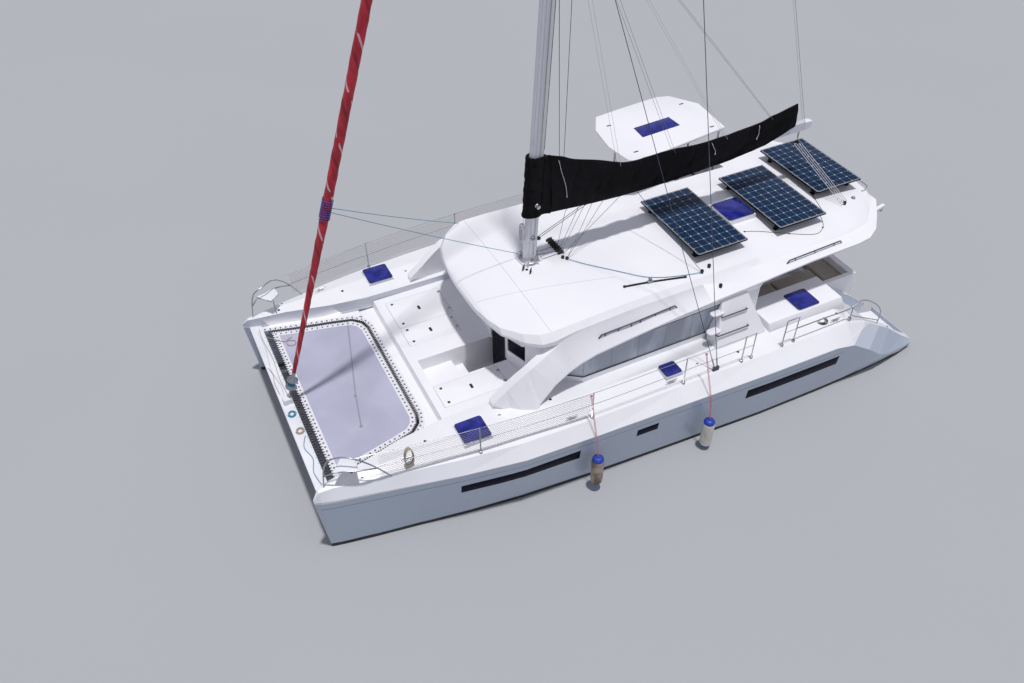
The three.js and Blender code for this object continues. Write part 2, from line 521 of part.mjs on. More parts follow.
const lifelines = join(...stanchions.map((s) => post(s)), ...WIRES.map((z) => wireRun(z)));
addPair('lifelines', 'steel', seated(cut(lifelines, pulpitRail(14 + GAP)), hull));
const gateLines = join(
  ...[[-2930, 3255], [-3230, 3250]].map((s) => post(s)),
  post([-4750, 3235], 1938),
  ...WIRES.map((z) => tube([[-2930, 3255, z], [-3230, 3250, z]], z > 2000 ? 11 : 5, 1, 6)),
  tube([[-3230, 3250, 1960], [-4000, 3250, 1950], [-4750, 3235, 1935], [-4930, 3235, 2050],
    [-5600, 3270, 1560], [-5620, 3280, 1000]], 12, 18, 8),
  tube([[-4750, 3235, 1700], [-5610, 3275, 1260]], 10, 1, 6),
);
addPair('pushpit', 'steel', seated(gateLines, hull));

// Rig: mast, boom with its stack bag, furled headsail and shrouds
const rake = THREE.MathUtils.degToRad(MAST_RAKE);
const mastAt = (z) => MAST_X - (z - MAST_STEP_Z) * Math.tan(rake);
const oval = (length, chord, width, sides = 16) => {
  const shape = new THREE.Shape(Array.from({ length: sides }, (_, i) => {
    const turn = 2 * Math.PI * i / sides;
    return new THREE.Vector2(chord / 2 * Math.cos(turn), width / 2 * Math.sin(turn));
  }));
  return new THREE.ExtrudeGeometry(shape, { depth: length, bevelEnabled: false });
};
const spreaderZ = 11300;
const mastOval = (by) => oval((MAST_TOP_Z - MAST_STEP_Z) / Math.cos(rake) + 40, MAST_CHORD + 2 * by,
  MAST_WIDTH + 2 * by)
  .translate(0, 0, -40).rotateY(-rake).translate(MAST_X, 0, MAST_STEP_Z);
const [mastTube, mastSpace] = [0, GAP].map(mastOval);
const spreader = tube([[mastAt(spreaderZ), 0, spreaderZ], [mastAt(spreaderZ) - 420, 1250, spreaderZ + 60]],
  32, 1, 8);
const gooseneck = { x: mastAt(BOOM_Z) - MAST_CHORD / 2 - 70, z: BOOM_Z };
const onMast = (geometry) => geometry.rotateY(-rake).translate(MAST_X, 0, MAST_STEP_Z);
const atGooseneck = (geometry) => geometry.rotateY(-rake).translate(gooseneck.x, 0, gooseneck.z);
const lugs = [[-90, -40], [40, 90]].map((z) => atGooseneck(box([-30, 200], [-30, 30], z)));
const mast = cut(join(mastTube, spreader, mirrored(spreader), ...lugs),
  box([0, 3000], [-500, 500], [2500, MAST_STEP_Z + GAP]));
add('mast', 'alloy', mast);
const boomRise = (BOOM_END[1] - BOOM_Z) / (BOOM_END[0] - gooseneck.x);
const boomAt = (x) => BOOM_Z + (x - gooseneck.x) * boomRise;
const BOOM_START = gooseneck.x - 110;
const boomTube = prism([[BOOM_START, boomAt(BOOM_START) - 95], [BOOM_START, boomAt(BOOM_START) + 95],
  [BOOM_END[0], BOOM_END[1] + 95], [BOOM_END[0], BOOM_END[1] - 95]], 'y', [-65, 65]);
const boomPin = join(
  atGooseneck(new THREE.CylinderGeometry(22, 22, 80 - 2 * GAP, 10).rotateX(Math.PI / 2)),
  atGooseneck(box([-130, 0], [-18, 18], [-28, 28])),
);
add('boom', 'alloy', join(boomTube, boomPin));
// Columns: x, bottom z, top z, half width at the bottom, half width at the top
const bagRows = [
  [830, 4110, 5350, 160, 100],
  [-120, 4050, 5000, 190, 90],
  [-820, 4020, 4740, 200, 85],
  [-2000, 4030, 4710, 200, 85],
  [-3400, 4100, 4680, 180, 75],
  [-4400, 4200, 4820, 130, 60],
  [-5150, 4420, 4970, 80, 35],
];
const bagRing = ([x, low, high, bottom, top]) => [
  [x, 0, low], [x, bottom * 0.8, low + 40], [x, bottom, low + 0.3 * (high - low)], [x, top, high - 60],
  [x, 0, high], [x, -top, high - 60], [x, -bottom, low + 0.3 * (high - low)], [x, -bottom * 0.8, low + 40],
];
const boomSlot = prism([[900, boomAt(900) - 100], [900, boomAt(900) + 100],
  [-5300, boomAt(-5300) + 100], [-5300, boomAt(-5300) - 100]], 'y', [-65 - GAP, 65 + GAP]);
add('sail_bag', 'canvas', cut(loft(bagRows.map(bagRing)), boomSlot));
const collarRing = oval(1290, MAST_CHORD + 150, MAST_WIDTH + 110).translate(0, 0, 1050);
add('mast_collar', 'canvas', cut(onMast(collarRing), mastSpace,
  onMast(box([-400, -80], [-200, 200], [900, 2500]))));

const stayAt = (z) => STAY_FOOT[0] + (z - STAY_FOOT[1]) * STAY_SLOPE;
const stayTurn = Math.atan(-STAY_SLOPE);
const along = (z) => (z - STAY_FOOT[1]) / Math.cos(stayTurn);
const furledSail = lathe([[0, along(2080)], [40, along(2080)], [58, along(3600)], [86, along(5400)],
  [88, along(9000)], [60, along(17800)], [8, along(18300)], [8, along(19380)], [0, along(19380)]], 12)
  .rotateY(-stayTurn).translate(STAY_FOOT[0], 0, STAY_FOOT[1]);
add('furled_headsail', 'red', cut(furledSail, mastSpace));
const furlerDrum = lathe([[0, -90], [22, -90], [22, 150], [110, 170], [110, 200], [60, 215],
  [60, 330], [110, 345], [110, 375], [40, 400], [40, along(2080) - GAP], [0, along(2080) - GAP]], 16)
  .rotateY(-stayTurn).translate(STAY_FOOT[0], 0, STAY_FOOT[1]);
add('furler_drum', 'steel', seated(furlerDrum, crossbeam));

const [plateX, plateY] = CHAINPLATE;
const shroud = (z, shift) => tube([[plateX + shift, plateY, 1660], [mastAt(z) , 60, z]], 7, 1, 6);
addPair('shrouds', 'steel', seated(cut(join(
  shroud(19300, -30), shroud(11000, 30),
  box([plateX - 70, plateX + 70], [plateY - 20, plateY + 20], [1560, 1700]),
), mastSpace), hull));

// Solar panels on feet
const panels = [[[-3000, -1780], [-560, 1600]], [[-5060, -3840], [-560, 1600]], [[-6660, -5430], [-1100, 900]]];
panels.forEach(([x, y], i) => {
  const feet = [y[0] + 250, y[1] - 250].flatMap((fy) => [x[0] + 120, x[1] - 120].map((fx) =>
    box([fx - 30, fx + 30], [fy - 30, fy + 30], [2800, 3170])));
  add(`solar_panel_${i + 1}`, 'panel', seated(join(box(x, y, [3165, 3205]), ...feet), coachroof));
});

// Davits over the stern beam
const davit = join(
  box([STERN_X + 40, STERN_X + 140], [1050, 1150], [FOREDECK_Z + GAP, 1980]),
  prism([[STERN_X + 140, 1860], [STERN_X + 140, 1980], [-7450, 2400], [-7450, 2320]], 'y', [1060, 1140]),
);
add('davits', 'gelcoat', join(davit, mirrored(davit), box([STERN_X + 60, STERN_X + 120], [-1100, 1100],
  [1880, 1940])));

// Under water: sail drives, propellers and rudders
const { x: shaftX, y: shaftY, z: shaftZ } = SHAFT;
const drive = join(
  loft([[-500, 1], [shaftZ, 0.8]].map(([z, scale]) => [[180, 0], [80, 45], [-120, 40], [-200, 0],
    [-120, -40], [80, -45]].map(([x, y]) => [shaftX + 330 + x * scale, shaftY + y * scale, z])), [0, 1]),
  lathe([[0, 0], [55, 0], [70, 160], [55, 420], [0, 520]], 12).rotateY(Math.PI / 2)
    .translate(shaftX + 60 + GAP, shaftY, shaftZ),
);
const lower = hull.clone().translate(0, 0, -GAP);
addPair('sail_drive', 'bronze', cut(drive, lower));
const blades = [0, 120, 240].map((turn) => new THREE.BoxGeometry(16, 90, 170).rotateZ(0.5)
  .translate(0, 0, 120).rotateX(turn * Math.PI / 180));
addPair('propeller', 'bronze', join(lathe([[0, -60], [30, -60], [45, 0], [45, 60], [0, 60]], 12)
  .rotateY(Math.PI / 2), ...blades).translate(shaftX, shaftY, shaftZ));
const rudder = join(
  loft([[-480, 1, 0], [-1150, 0.7, -40]].map(([z, scale, shift]) => [[170, 0], [110, 35], [-60, 38],
    [-300, 6], [-300, -6], [-60, -38], [110, -35]].map(([x, y]) =>
    [RUDDER.x + shift + x * scale, RUDDER.y + y * scale, z])), [0, 1]),
  new THREE.CylinderGeometry(28, 28, 60, 10).rotateX(Math.PI / 2)
    .translate(RUDDER.x, RUDDER.y, bearingFoot - GAP - 30),
);
addPair('rudder', 'gelcoat', rudder);

// Fenders hung on the port side, each with its line up to the lower wire
const railY = (x) => {
  const next = stanchions.findIndex(([sx]) => sx < x);
  const [[x0, y0], [x1, y1]] = [stanchions[next - 1], stanchions[next]];
  return y0 + (y1 - y0) * (x - x0) / (x1 - x0);
};
const fender = (x, y, z) => cut(join(
  lathe([[0, 0], [40, 0], [118, 90], [122, 720], [40, 820], [0, 820]], 14).translate(x, y, z),
  tube([[x, railY(x) + 14, WIRES[1]], [x, y - 130, 1430], [x, y - 90, 1330], [x, y, z + 810]], 7, 8, 6),
  box([x - 12, x + 12], [railY(x) - 18, railY(x) + 24], [WIRES[1] - 20, WIRES[1] + 20]),
), wireRun(WIRES[1], 5 + GAP));
add('fender_forward', 'fender', fender(1600, 3650, 150));
add('fender_aft', 'fender', fender(-940, 3740, 30));

export default group;
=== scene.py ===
# Sailing catamaran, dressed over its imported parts. Metres, +X to the bows, +Y to port, +Z up,
# with the waterline at z = 0.
import math
import random

import bpy
import bmesh
from mathutils import Matrix, Vector
from mathutils.bvhtree import BVHTree


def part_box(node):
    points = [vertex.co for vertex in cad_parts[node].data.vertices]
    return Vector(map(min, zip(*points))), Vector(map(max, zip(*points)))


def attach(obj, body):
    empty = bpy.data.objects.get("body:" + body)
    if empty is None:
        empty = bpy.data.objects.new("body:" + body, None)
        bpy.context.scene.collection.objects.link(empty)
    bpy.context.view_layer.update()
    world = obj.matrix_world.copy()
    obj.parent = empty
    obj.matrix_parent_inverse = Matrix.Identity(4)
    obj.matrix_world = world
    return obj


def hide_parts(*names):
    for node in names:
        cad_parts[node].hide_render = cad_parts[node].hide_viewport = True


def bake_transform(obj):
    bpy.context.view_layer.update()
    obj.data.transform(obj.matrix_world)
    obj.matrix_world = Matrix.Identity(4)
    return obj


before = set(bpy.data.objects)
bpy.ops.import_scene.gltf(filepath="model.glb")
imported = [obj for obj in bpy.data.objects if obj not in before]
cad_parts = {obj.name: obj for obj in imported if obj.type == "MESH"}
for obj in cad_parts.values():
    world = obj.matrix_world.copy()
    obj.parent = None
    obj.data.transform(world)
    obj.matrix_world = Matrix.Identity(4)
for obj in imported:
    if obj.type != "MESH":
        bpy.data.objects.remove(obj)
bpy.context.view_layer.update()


# Camera
# A high view over the port bow, with the photograph's lens and a slight roll. Its angles are the
# turn about the vertical, the dip and the roll, in degrees.
def placed(name, data):
    """A new object, linked to the scene."""
    made = bpy.data.objects.new(name, data)
    bpy.context.scene.collection.objects.link(made)
    return made


sight = placed("camera", bpy.data.cameras.new("camera"))
sight.data.sensor_width, sight.data.lens = 36, 30.515
sight.data.clip_end = 400
turn, dip, roll = (math.radians(a) for a in (-115.7743, 42.8974, -0.66))
ahead = Vector((math.cos(turn) * math.cos(dip), math.sin(turn) * math.cos(dip), -math.sin(dip)))
level = ahead.cross(Vector((0, 0, 1))).normalized()
top = level.cross(ahead)
right = math.cos(roll) * level + math.sin(roll) * top
up = math.cos(roll) * top - math.sin(roll) * level
sight_from = Matrix.Translation((7.676, 12.5065, 13.8393))
sight.matrix_world = sight_from @ Matrix((right, up, -ahead)).transposed().to_4x4()
bpy.context.scene.camera = sight


# Floor and light
# A plain pale floor at the height of the waterline, a high soft sun and an even sky.
class Wire:
    """The output of one node, with the sums that the finishes use."""

    def __init__(self, bench, socket):
        self.bench, self.socket = bench, socket

    def sum(self, operation, *values):
        return self.bench.node("ShaderNodeMath", {"operation": operation}, dict(enumerate(values)))

    def __add__(self, other):
        return self.sum("ADD", self, other)

    def __radd__(self, other):
        return self.sum("ADD", other, self)

    def __sub__(self, other):
        return self.sum("SUBTRACT", self, other)

    def __rsub__(self, other):
        return self.sum("SUBTRACT", other, self)

    def __mul__(self, other):
        return self.sum("MULTIPLY", self, other)

    def __rmul__(self, other):
        return self.sum("MULTIPLY", other, self)

    def __gt__(self, other):
        return self.sum("GREATER_THAN", self, other)

    def __lt__(self, other):
        return self.sum("LESS_THAN", self, other)

    def __abs__(self):
        return self.sum("ABSOLUTE", self)

    def up_to(self, other):
        return self.sum("MINIMUM", self, other)

    def or_more(self, other):
        return self.sum("MAXIMUM", self, other)

    def saw(self, pitch):
        """Distance to the nearest multiple of pitch, in pitches: 0 on it, 0.5 half way."""
        return self.sum("PINGPONG", self * (1 / pitch), 0.5)

    def edge(self, low, high):
        """0 up to low, 1 from high, smooth between."""
        return self.bench.node("ShaderNodeMapRange", {"interpolation_type": "SMOOTHSTEP"},
                               {0: self, 1: low, 2: high, 3: 0.0, 4: 1.0})


class Bench:
    """A node tree in the making."""

    def __init__(self, tree):
        self.tree = tree
        tree.nodes.clear()

    def node(self, kind, settings=None, values=None, out=0):
        """One node: its settings first, then the values or links of its sockets."""
        made = self.tree.nodes.new(kind)
        for name, value in (settings or {}).items():
            setattr(made, name, value)
        for name, value in (values or {}).items():
            socket = made.inputs[name]
            if isinstance(value, Wire):
                self.tree.links.new(value.socket, socket)
            else:
                socket.default_value = (*value, 1) if socket.type == "RGBA" else value
        return Wire(self, made.outputs[out])


class Finish(Bench):
    """A material in the making, on the object's own coordinates in metres."""

    def __init__(self, name):
        self.made = bpy.data.materials.new(name)
        self.made.use_nodes = True
        super().__init__(self.made.node_tree)
        self.place = self.node("ShaderNodeTexCoord", out="Object")
        self.x, self.y, self.z = self.split(self.place)

    def split(self, vector):
        """The three parts of a vector."""
        parts = self.node("ShaderNodeSeparateXYZ", values={0: vector})
        return [Wire(self, socket) for socket in parts.socket.node.outputs]

    def wrapped(self):
        """Round and along a piece, from its own UV map."""
        return self.split(self.node("ShaderNodeUVMap", {"uv_map": "wrap"}))[:2]

    def upward(self):
        """How far the surface faces up, from -1 to 1."""
        return self.split(self.node("ShaderNodeNewGeometry", out="Normal"))[2]

    def cloud(self, scale, detail=3.0, stretch=(1, 1, 1)):
        """Noise about 0.5; stretch over 1 packs it along that axis."""
        where = self.node("ShaderNodeVectorMath", {"operation": "MULTIPLY"}, {0: self.place, 1: stretch})
        return self.node("ShaderNodeTexNoise", values={"Vector": where, "Scale": scale, "Detail": detail})

    def mix(self, share, first, second):
        return self.node("ShaderNodeMix", {"data_type": "RGBA"}, {0: share, 6: first, 7: second}, out=2)

    def bump(self, height, distance, strength=1.0):
        values = {"Height": height, "Distance": distance, "Strength": strength}
        return self.node("ShaderNodeBump", values=values)

    def done(self, colour, roughness, normal=None, **more):
        values = {"Base Color": colour, "Roughness": roughness}
        values.update({name.replace("_", " "): value for name, value in more.items()})
        if normal:
            values["Normal"] = normal
        skin = self.node("ShaderNodeBsdfPrincipled", values=values)
        end = self.tree.nodes.new("ShaderNodeOutputMaterial")
        self.tree.links.new(skin.socket, end.inputs["Surface"])
        return self.made


def finish_floor():
    mat = Finish("floor")
    soft = mat.cloud(0.15, 2.0)
    return mat.done(mat.mix(soft.edge(0.3, 0.7), (0.425, 0.435, 0.45), (0.43, 0.44, 0.455)), 0.85)


reach = 150
floor_mesh = bpy.data.meshes.new("floor")
floor_mesh.from_pydata([(-reach, -reach, 0), (reach, -reach, 0), (reach, reach, 0), (-reach, reach, 0)], [],
                       [(0, 1, 2, 3)])
floor_mesh.materials.append(finish_floor())
placed("floor", floor_mesh)

sun = placed("sun", bpy.data.lights.new("sun", "SUN"))
sun.data.energy, sun.data.angle = 2.25, math.radians(3)
sun.data.color = (1.0, 0.982, 0.995)
sun.rotation_euler = Vector((-0.04, 0.11, 1)).to_track_quat("Z", "Y").to_euler()
sky = bpy.data.worlds.new("sky")
sky.use_nodes = True
sky.node_tree.nodes["Background"].inputs["Color"].default_value = (0.82, 0.845, 1.0, 1)
sky.node_tree.nodes["Background"].inputs["Strength"].default_value = 0.42
bpy.context.scene.world = sky
bpy.context.scene.view_settings.view_transform = "Standard"


# Hulls
# Two moulded hulls in white gelcoat over laminate, faired smooth, with dark antifouling up to just over the
# waterline and a fine pinstripe under the knuckle. On the side faces a blue-grey painted shade lies on the
# topsides under the knuckle and on the band above it, and a painted highlight runs along the knuckle.
def finish_hull():
    mat = Finish("hull_gelcoat")
    boot_top, knuckle, pin_height, pin_climb = 0.110, 1.37, 1.165, 0.004
    soft = mat.cloud(0.8, 4.0)
    side = 1 - abs(mat.upward()).edge(0.3, 0.8)
    up = mat.upward().edge(0.9, 0.97)
    runs = mat.cloud(5.0, 3.0, (1, 1, 0.12)).edge(0.52, 0.8)
    boot = 1 - (mat.z + mat.cloud(1.5, 2.0) * 0.02).edge(boot_top - 0.002, boot_top + 0.002)
    # Painted light on the side faces only: painted shade on the band above the knuckle and on the topsides
    # under it, and a painted highlight along the knuckle.
    gunwale_band_shade = mat.z.edge(knuckle + 0.005, knuckle + 0.015)
    topside_shade = 1 - mat.z.edge(knuckle - 0.03, knuckle)
    knuckle_highlight = 1 - abs(mat.z - knuckle).edge(0.010, 0.016)
    striped = (mat.x > -4.4) * (mat.x < 6.72)
    pin = 1 - abs(mat.z - pin_height - mat.x * pin_climb).edge(0.006, 0.012)
    white = mat.mix(soft.edge(0.3, 0.7), (0.83, 0.835, 0.85), (0.88, 0.885, 0.90))
    for share, colour in ((runs * 0.10, (0.55, 0.55, 0.52)), (gunwale_band_shade * 0.6, (0.50, 0.53, 0.62)),
                          (topside_shade * 0.9, (0.42, 0.50, 0.60)), (knuckle_highlight, (0.92, 0.92, 0.93)),
                          (pin * striped * 0.75, (0.12, 0.14, 0.18))):
        white = mat.mix(share * side, white, colour)
    weed = mat.mix(mat.cloud(9.0, 5.0).edge(0.35, 0.7), (0.012, 0.014, 0.018), (0.03, 0.04, 0.035))
    stipple = mat.cloud(260.0, 2.0) * up + 0.06 * mat.cloud(60.0)
    return mat.done(mat.mix(boot, white, weed), 0.24 + 0.35 * boot + 0.2 * up + 0.08 * soft,
                    mat.bump(stipple, 0.002, 0.35), Coat_Weight=0.35 * (1 - boot))


def shown(name):
    """A merged copy of a CAD node, ready to be finished and to stand for it."""
    bm = bmesh.new()
    bm.from_mesh(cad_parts[name].data)
    bmesh.ops.remove_doubles(bm, verts=bm.verts, dist=0.0002)
    mesh = bpy.data.meshes.new(name + "_skin")
    bm.to_mesh(mesh)
    bm.free()
    return placed(name + "_skin", mesh)


def baked(obj):
    """The object's mesh with its modifiers worked in."""
    bpy.context.view_layer.update()
    return bpy.data.meshes.new_from_object(obj.evaluated_get(bpy.context.evaluated_depsgraph_get()))


def shade(mesh, angle):
    """Smooth shading, with creases where faces meet at more than an angle in degrees."""
    mesh.polygons.foreach_set("use_smooth", [True] * len(mesh.polygons))
    mesh.set_sharp_from_angle(angle=math.radians(angle))


def soften(skin, angle, width):
    """Joins the flat facets of a skin, rounds its moulded edges and shades it smooth between them."""
    bm = bmesh.new()
    bm.from_mesh(skin.data)
    bmesh.ops.dissolve_limit(bm, angle_limit=math.radians(0.4), verts=bm.verts, edges=bm.edges)
    bm.to_mesh(skin.data)
    bm.free()
    if width:
        bevel = skin.modifiers.new("edge", "BEVEL")
        bevel.width, bevel.segments, bevel.limit_method = width, 2, "ANGLE"
        bevel.angle_limit, bevel.use_clamp_overlap = math.radians(angle), True
        skin.data = baked(skin)
        skin.modifiers.clear()
    shade(skin.data, angle)


def settle(obj, body, slot, finish, *stands_for):
    """Gives a finished piece its material and body; its slot is not used."""
    obj.data.materials.clear()
    for mat in finish if isinstance(finish, (list, tuple)) else [finish]:
        obj.data.materials.append(mat)
    if body:
        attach(obj, body)
    if stands_for:
        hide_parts(*stands_for)
    return obj


def dress(node, body, slot, finish, angle, width=0.0):
    """Puts a softened, finished skin in the place of a CAD node."""
    skin = shown(node)
    soften(skin, angle, width)
    settle(skin, body, slot, finish, node)


both_sides = ((1, "port"), (-1, "starboard"))
hull_gelcoat = finish_hull()
for sign, side in both_sides:
    dress(side + "_hull", "boat", "gelcoat", hull_gelcoat, 14)


# Hull windows
# Dark acrylic panels, three to a side, bonded on the topsides and bent to their curve, with the
# outer edges eased back.
class Shape:
    """Points, faces and wrap of one piece while it is made."""

    def __init__(self):
        self.points, self.faces, self.wraps = [], [], []

    def skin(self, rings, wraps=None, caps=True):
        """Faces over rings of equal count; wraps gives each ring's place along, for the UV map."""
        start, count = len(self.points), len(rings[0])
        for ring in rings:
            self.points += [tuple(p) for p in ring]
        wraps = wraps or [0.1 * r for r in range(len(rings))]
        for r in range(len(rings) - 1):
            a, b = start + r * count, start + (r + 1) * count
            for i in range(count):
                j = (i + 1) % count
                self.faces.append((a + i, a + j, b + j, b + i))
                u, v = i / count, (i + 1) / count
                self.wraps.append([(u, wraps[r]), (v, wraps[r]), (v, wraps[r + 1]), (u, wraps[r + 1])])
        if caps:
            for r in (0, len(rings) - 1):
                face = [start + r * count + i for i in range(count)]
                self.faces.append(tuple(face) if r else tuple(reversed(face)))
                self.wraps.append([(0.5, wraps[r])] * count)
        return self

    def tube(self, path, radius, sides=8):
        """A round run along a path, its rings turned as little as possible."""
        path = [Vector(p) for p in path]
        last = len(path) - 1
        radii = radius if isinstance(radius, (list, tuple)) else [radius] * len(path)
        ways = [(path[min(i + 1, last)] - path[max(i - 1, 0)]).normalized() for i in range(len(path))]
        out = ways[0].orthogonal().normalized()
        rings, along, run = [], [], 0.0
        for i, (p, way) in enumerate(zip(path, ways)):
            out = (out - way * out.dot(way)).normalized()
            across = way.cross(out)
            rings.append([p + radii[i] * (math.cos(t) * out + math.sin(t) * across)
                          for t in (2 * math.pi * k / sides for k in range(sides))])
            run += (p - path[i - 1]).length if i else 0
            along.append(run)
        return self.skin(rings, along)

    def turned(self, profile, at, axis=(0, 0, 1), sides=20):
        """A lathe piece: radius and height pairs, set at a point along an axis."""
        at, axis = Vector(at), Vector(axis).normalized()
        out = axis.orthogonal().normalized()
        across = axis.cross(out)
        return self.skin([[at + axis * h + max(r, 0.0004) * (math.cos(t) * out + math.sin(t) * across)
                           for t in (2 * math.pi * k / sides for k in range(sides))] for r, h in profile])

    def slab(self, outline, low, high, edge=0.006):
        """A plate over an outline of x, y points, with rounded upper and lower edges."""
        centre = Vector((sum(p[0] for p in outline), sum(p[1] for p in outline))) / len(outline)

        def ring(z, inset):
            made = []
            for i, p in enumerate(outline):
                a, b = Vector(outline[i - 1]), Vector(outline[(i + 1) % len(outline)])
                way = b - a
                normal = Vector((way.y, -way.x)).normalized()
                if normal.dot(Vector(p) - centre) < 0:
                    normal = -normal
                made.append((p[0] - normal.x * inset, p[1] - normal.y * inset, z))
            return made
        steps = [(0, 1), (0.3, 0.3), (1, 0)]
        rings = [ring(low + edge * s, edge * t) for s, t in steps]
        rings += [ring(high - edge * s, edge * t) for s, t in reversed(steps)]
        return self.skin(rings)

    def block(self, low, high, edge=0.004):
        """A box with rounded edges all round."""
        (x0, y0, z0), (x1, y1, z1) = low, high
        e = min(edge, 0.45 * min(x1 - x0, y1 - y0, z1 - z0))
        return self.slab(rounded(x0, y0, x1, y1, e, 2), z0, z1, e)

    def piece(self, name, body, slot, finish, *stands_for, smooth=35):
        """Makes the mesh, faces it outwards and settles it."""
        mesh = bpy.data.meshes.new(name)
        mesh.from_pydata(self.points, [], self.faces)
        flat = [part for wrap in self.wraps for uv in wrap for part in uv]
        mesh.uv_layers.new(name="wrap").data.foreach_set("uv", flat)
        face_out(mesh)
        shade(mesh, smooth)
        return settle(placed(name, mesh), body, slot, finish, *stands_for)


def face_out(mesh):
    """Turns every face of a closed mesh outwards."""
    bm = bmesh.new()
    bm.from_mesh(mesh)
    bmesh.ops.recalc_face_normals(bm, faces=bm.faces)
    bm.to_mesh(mesh)
    bm.free()


def rounded(x0, y0, x1, y1, radius, steps=4):
    """Corner points of a rectangle with round corners, anticlockwise."""
    made = []
    for cx, cy, start in ((x1 - radius, y1 - radius, 0), (x0 + radius, y1 - radius, 90),
                          (x0 + radius, y0 + radius, 180), (x1 - radius, y0 + radius, 270)):
        for k in range(steps + 1):
            t = math.radians(start + 90 * k / steps)
            made.append((cx + radius * math.cos(t), cy + radius * math.sin(t)))
    return made


def surface_of(*names):
    """A tree for finding the surface of CAD nodes."""
    points, faces = [], []
    for name in names:
        mesh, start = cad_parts[name].data, len(points)
        points += [v.co.copy() for v in mesh.vertices]
        mesh.calc_loop_triangles()
        faces += [[start + i for i in tri.vertices] for tri in mesh.loop_triangles]
    return BVHTree.FromPolygons(points, faces)


def finish_pane():
    mat = Finish("dark_acrylic")
    haze = mat.cloud(1.2, 3.0).edge(0.35, 0.75)
    smear = mat.cloud(14.0, 4.0, (1, 1, 0.3)).edge(0.45, 0.8)
    return mat.done(mat.mix(haze, (0.004, 0.003, 0.012), (0.009, 0.006, 0.024)), 0.22 + 0.15 * smear,
                    mat.bump(mat.cloud(2.5, 1.0), 0.004, 0.15), Specular_IOR_Level=0.04)


dark_acrylic = finish_pane()
hull_top = {1: surface_of("port_hull"), -1: surface_of("starboard_hull")}
# Columns: forward end x, aft end x, lower and upper z forward, lower and upper z aft
hull_windows = {"forward": (4.24, 1.86, 0.80, 1.02, 0.78, 1.04),
                "middle": (0.62, 0.14, 0.84, 1.04, 0.84, 1.04),
                "aft": (-1.95, -4.30, 0.79, 1.05, 0.80, 1.06)}
sunk, proud, eased = -0.004, 0.0045, 0.0025
for sign, side in both_sides:
    for place, (x0, x1, a0, b0, a1, b1) in hull_windows.items():
        steps = max(8, int((x0 - x1) / 0.12))
        sheets = []
        for lift in (sunk, proud):
            rows = []
            for k in range(steps + 1):
                t = k / steps
                low, high = a0 + (a1 - a0) * t, b0 + (b1 - b0) * t
                row = []
                for s in (0, 0.04, 0.5, 0.96, 1):
                    outside = Vector((x0 + (x1 - x0) * t, sign * 6, low + (high - low) * s))
                    hit = hull_top[sign].ray_cast(outside, Vector((0, -sign, 0)))[0]
                    edge = eased if lift > 0 and (s in (0, 1) or k in (0, steps)) else 0
                    row.append(hit + Vector((0, sign, 0.25)).normalized() * (lift - edge))
                rows.append(row)
            sheets.append(rows)
        pane = Shape().skin([outer + inner[::-1] for inner, outer in zip(*sheets)])
        pane.piece(f"{side}_{place}_hull_window", "boat", "glass", dark_acrylic, smooth=50)


# Bridgedeck
# The moulded deck between the hulls with its footwell, in white gelcoat, with a fine non-slip
# stipple on the level parts and a little grime.
def finish_deck():
    mat = Finish("deck_gelcoat")
    soft = mat.cloud(0.7, 4.0)
    up = mat.upward().edge(0.85, 0.97)
    stipple = mat.node("ShaderNodeTexVoronoi", values={"Vector": mat.place, "Scale": 150.0})
    grime = mat.cloud(3.0, 5.0).edge(0.55, 0.85)
    white = mat.mix(soft.edge(0.3, 0.7), (0.86, 0.86, 0.885), (0.90, 0.90, 0.92))
    return mat.done(mat.mix(grime * 0.10, white, (0.60, 0.58, 0.53)), 0.30 + 0.25 * up,
                    mat.bump(stipple * up + 0.1 * mat.cloud(70.0), 0.0025, 0.3), Coat_Weight=0.25 * (1 - up))


deck_gelcoat = finish_deck()
dress("bridgedeck", "boat", "gelcoat", deck_gelcoat, 30, 0.012)


# Coachroof, coamings, boarding steps and cabin walls
# White gelcoat mouldings, with rounded edges on all but the roof, whose panels meet in fine grey
# seams. The helm's base and hardtop and the davits wear the same gelcoat.
def finish_roof():
    mat = Finish("roof_gelcoat")
    athwart_x, ahead_y, ahead_slant = 1.80, 1.21, 0.245
    soft = mat.cloud(0.6, 4.0)
    up = mat.upward().edge(0.80, 0.95)
    athwart = 1 - abs(mat.x - athwart_x).edge(0.003, 0.008)
    ahead_seam = 1 - abs(mat.y - ahead_y + mat.x * ahead_slant).edge(0.003, 0.008)
    seam = up * (athwart * (abs(mat.y) < 2.02) + ahead_seam * (mat.x > -0.1) * (mat.x < 2.75)).up_to(1.0)
    runs = mat.cloud(6.0, 4.0, (1, 1, 0.15)).edge(0.5, 0.8) * (1 - up)
    white = mat.mix(soft.edge(0.3, 0.7), (0.87, 0.87, 0.90), (0.91, 0.91, 0.93))
    white = mat.mix(runs * 0.10, white, (0.55, 0.54, 0.50))
    white = mat.mix(seam * 0.55, white, (0.35, 0.36, 0.40))
    fine = mat.cloud(220.0, 2.0)
    return mat.done(white, 0.27 + 0.2 * up + 0.06 * soft,
                    mat.bump(fine * up * 0.5 - seam, 0.002, 0.35), Coat_Weight=0.3 * (1 - up))


roof_gelcoat = finish_roof()
for name, width in (("coachroof", 0.0), ("port_coaming", 0.02), ("starboard_coaming", 0.02),
                    ("boarding_steps", 0.02), ("cabin_walls", 0.008), ("aft_bulkhead", 0.006),
                    ("helm_station", 0.02), ("helm_roof", 0.02), ("davits", 0.012)):
    dress(name, "boat", "gelcoat", roof_gelcoat, 12 if name == "coachroof" else 30, width)


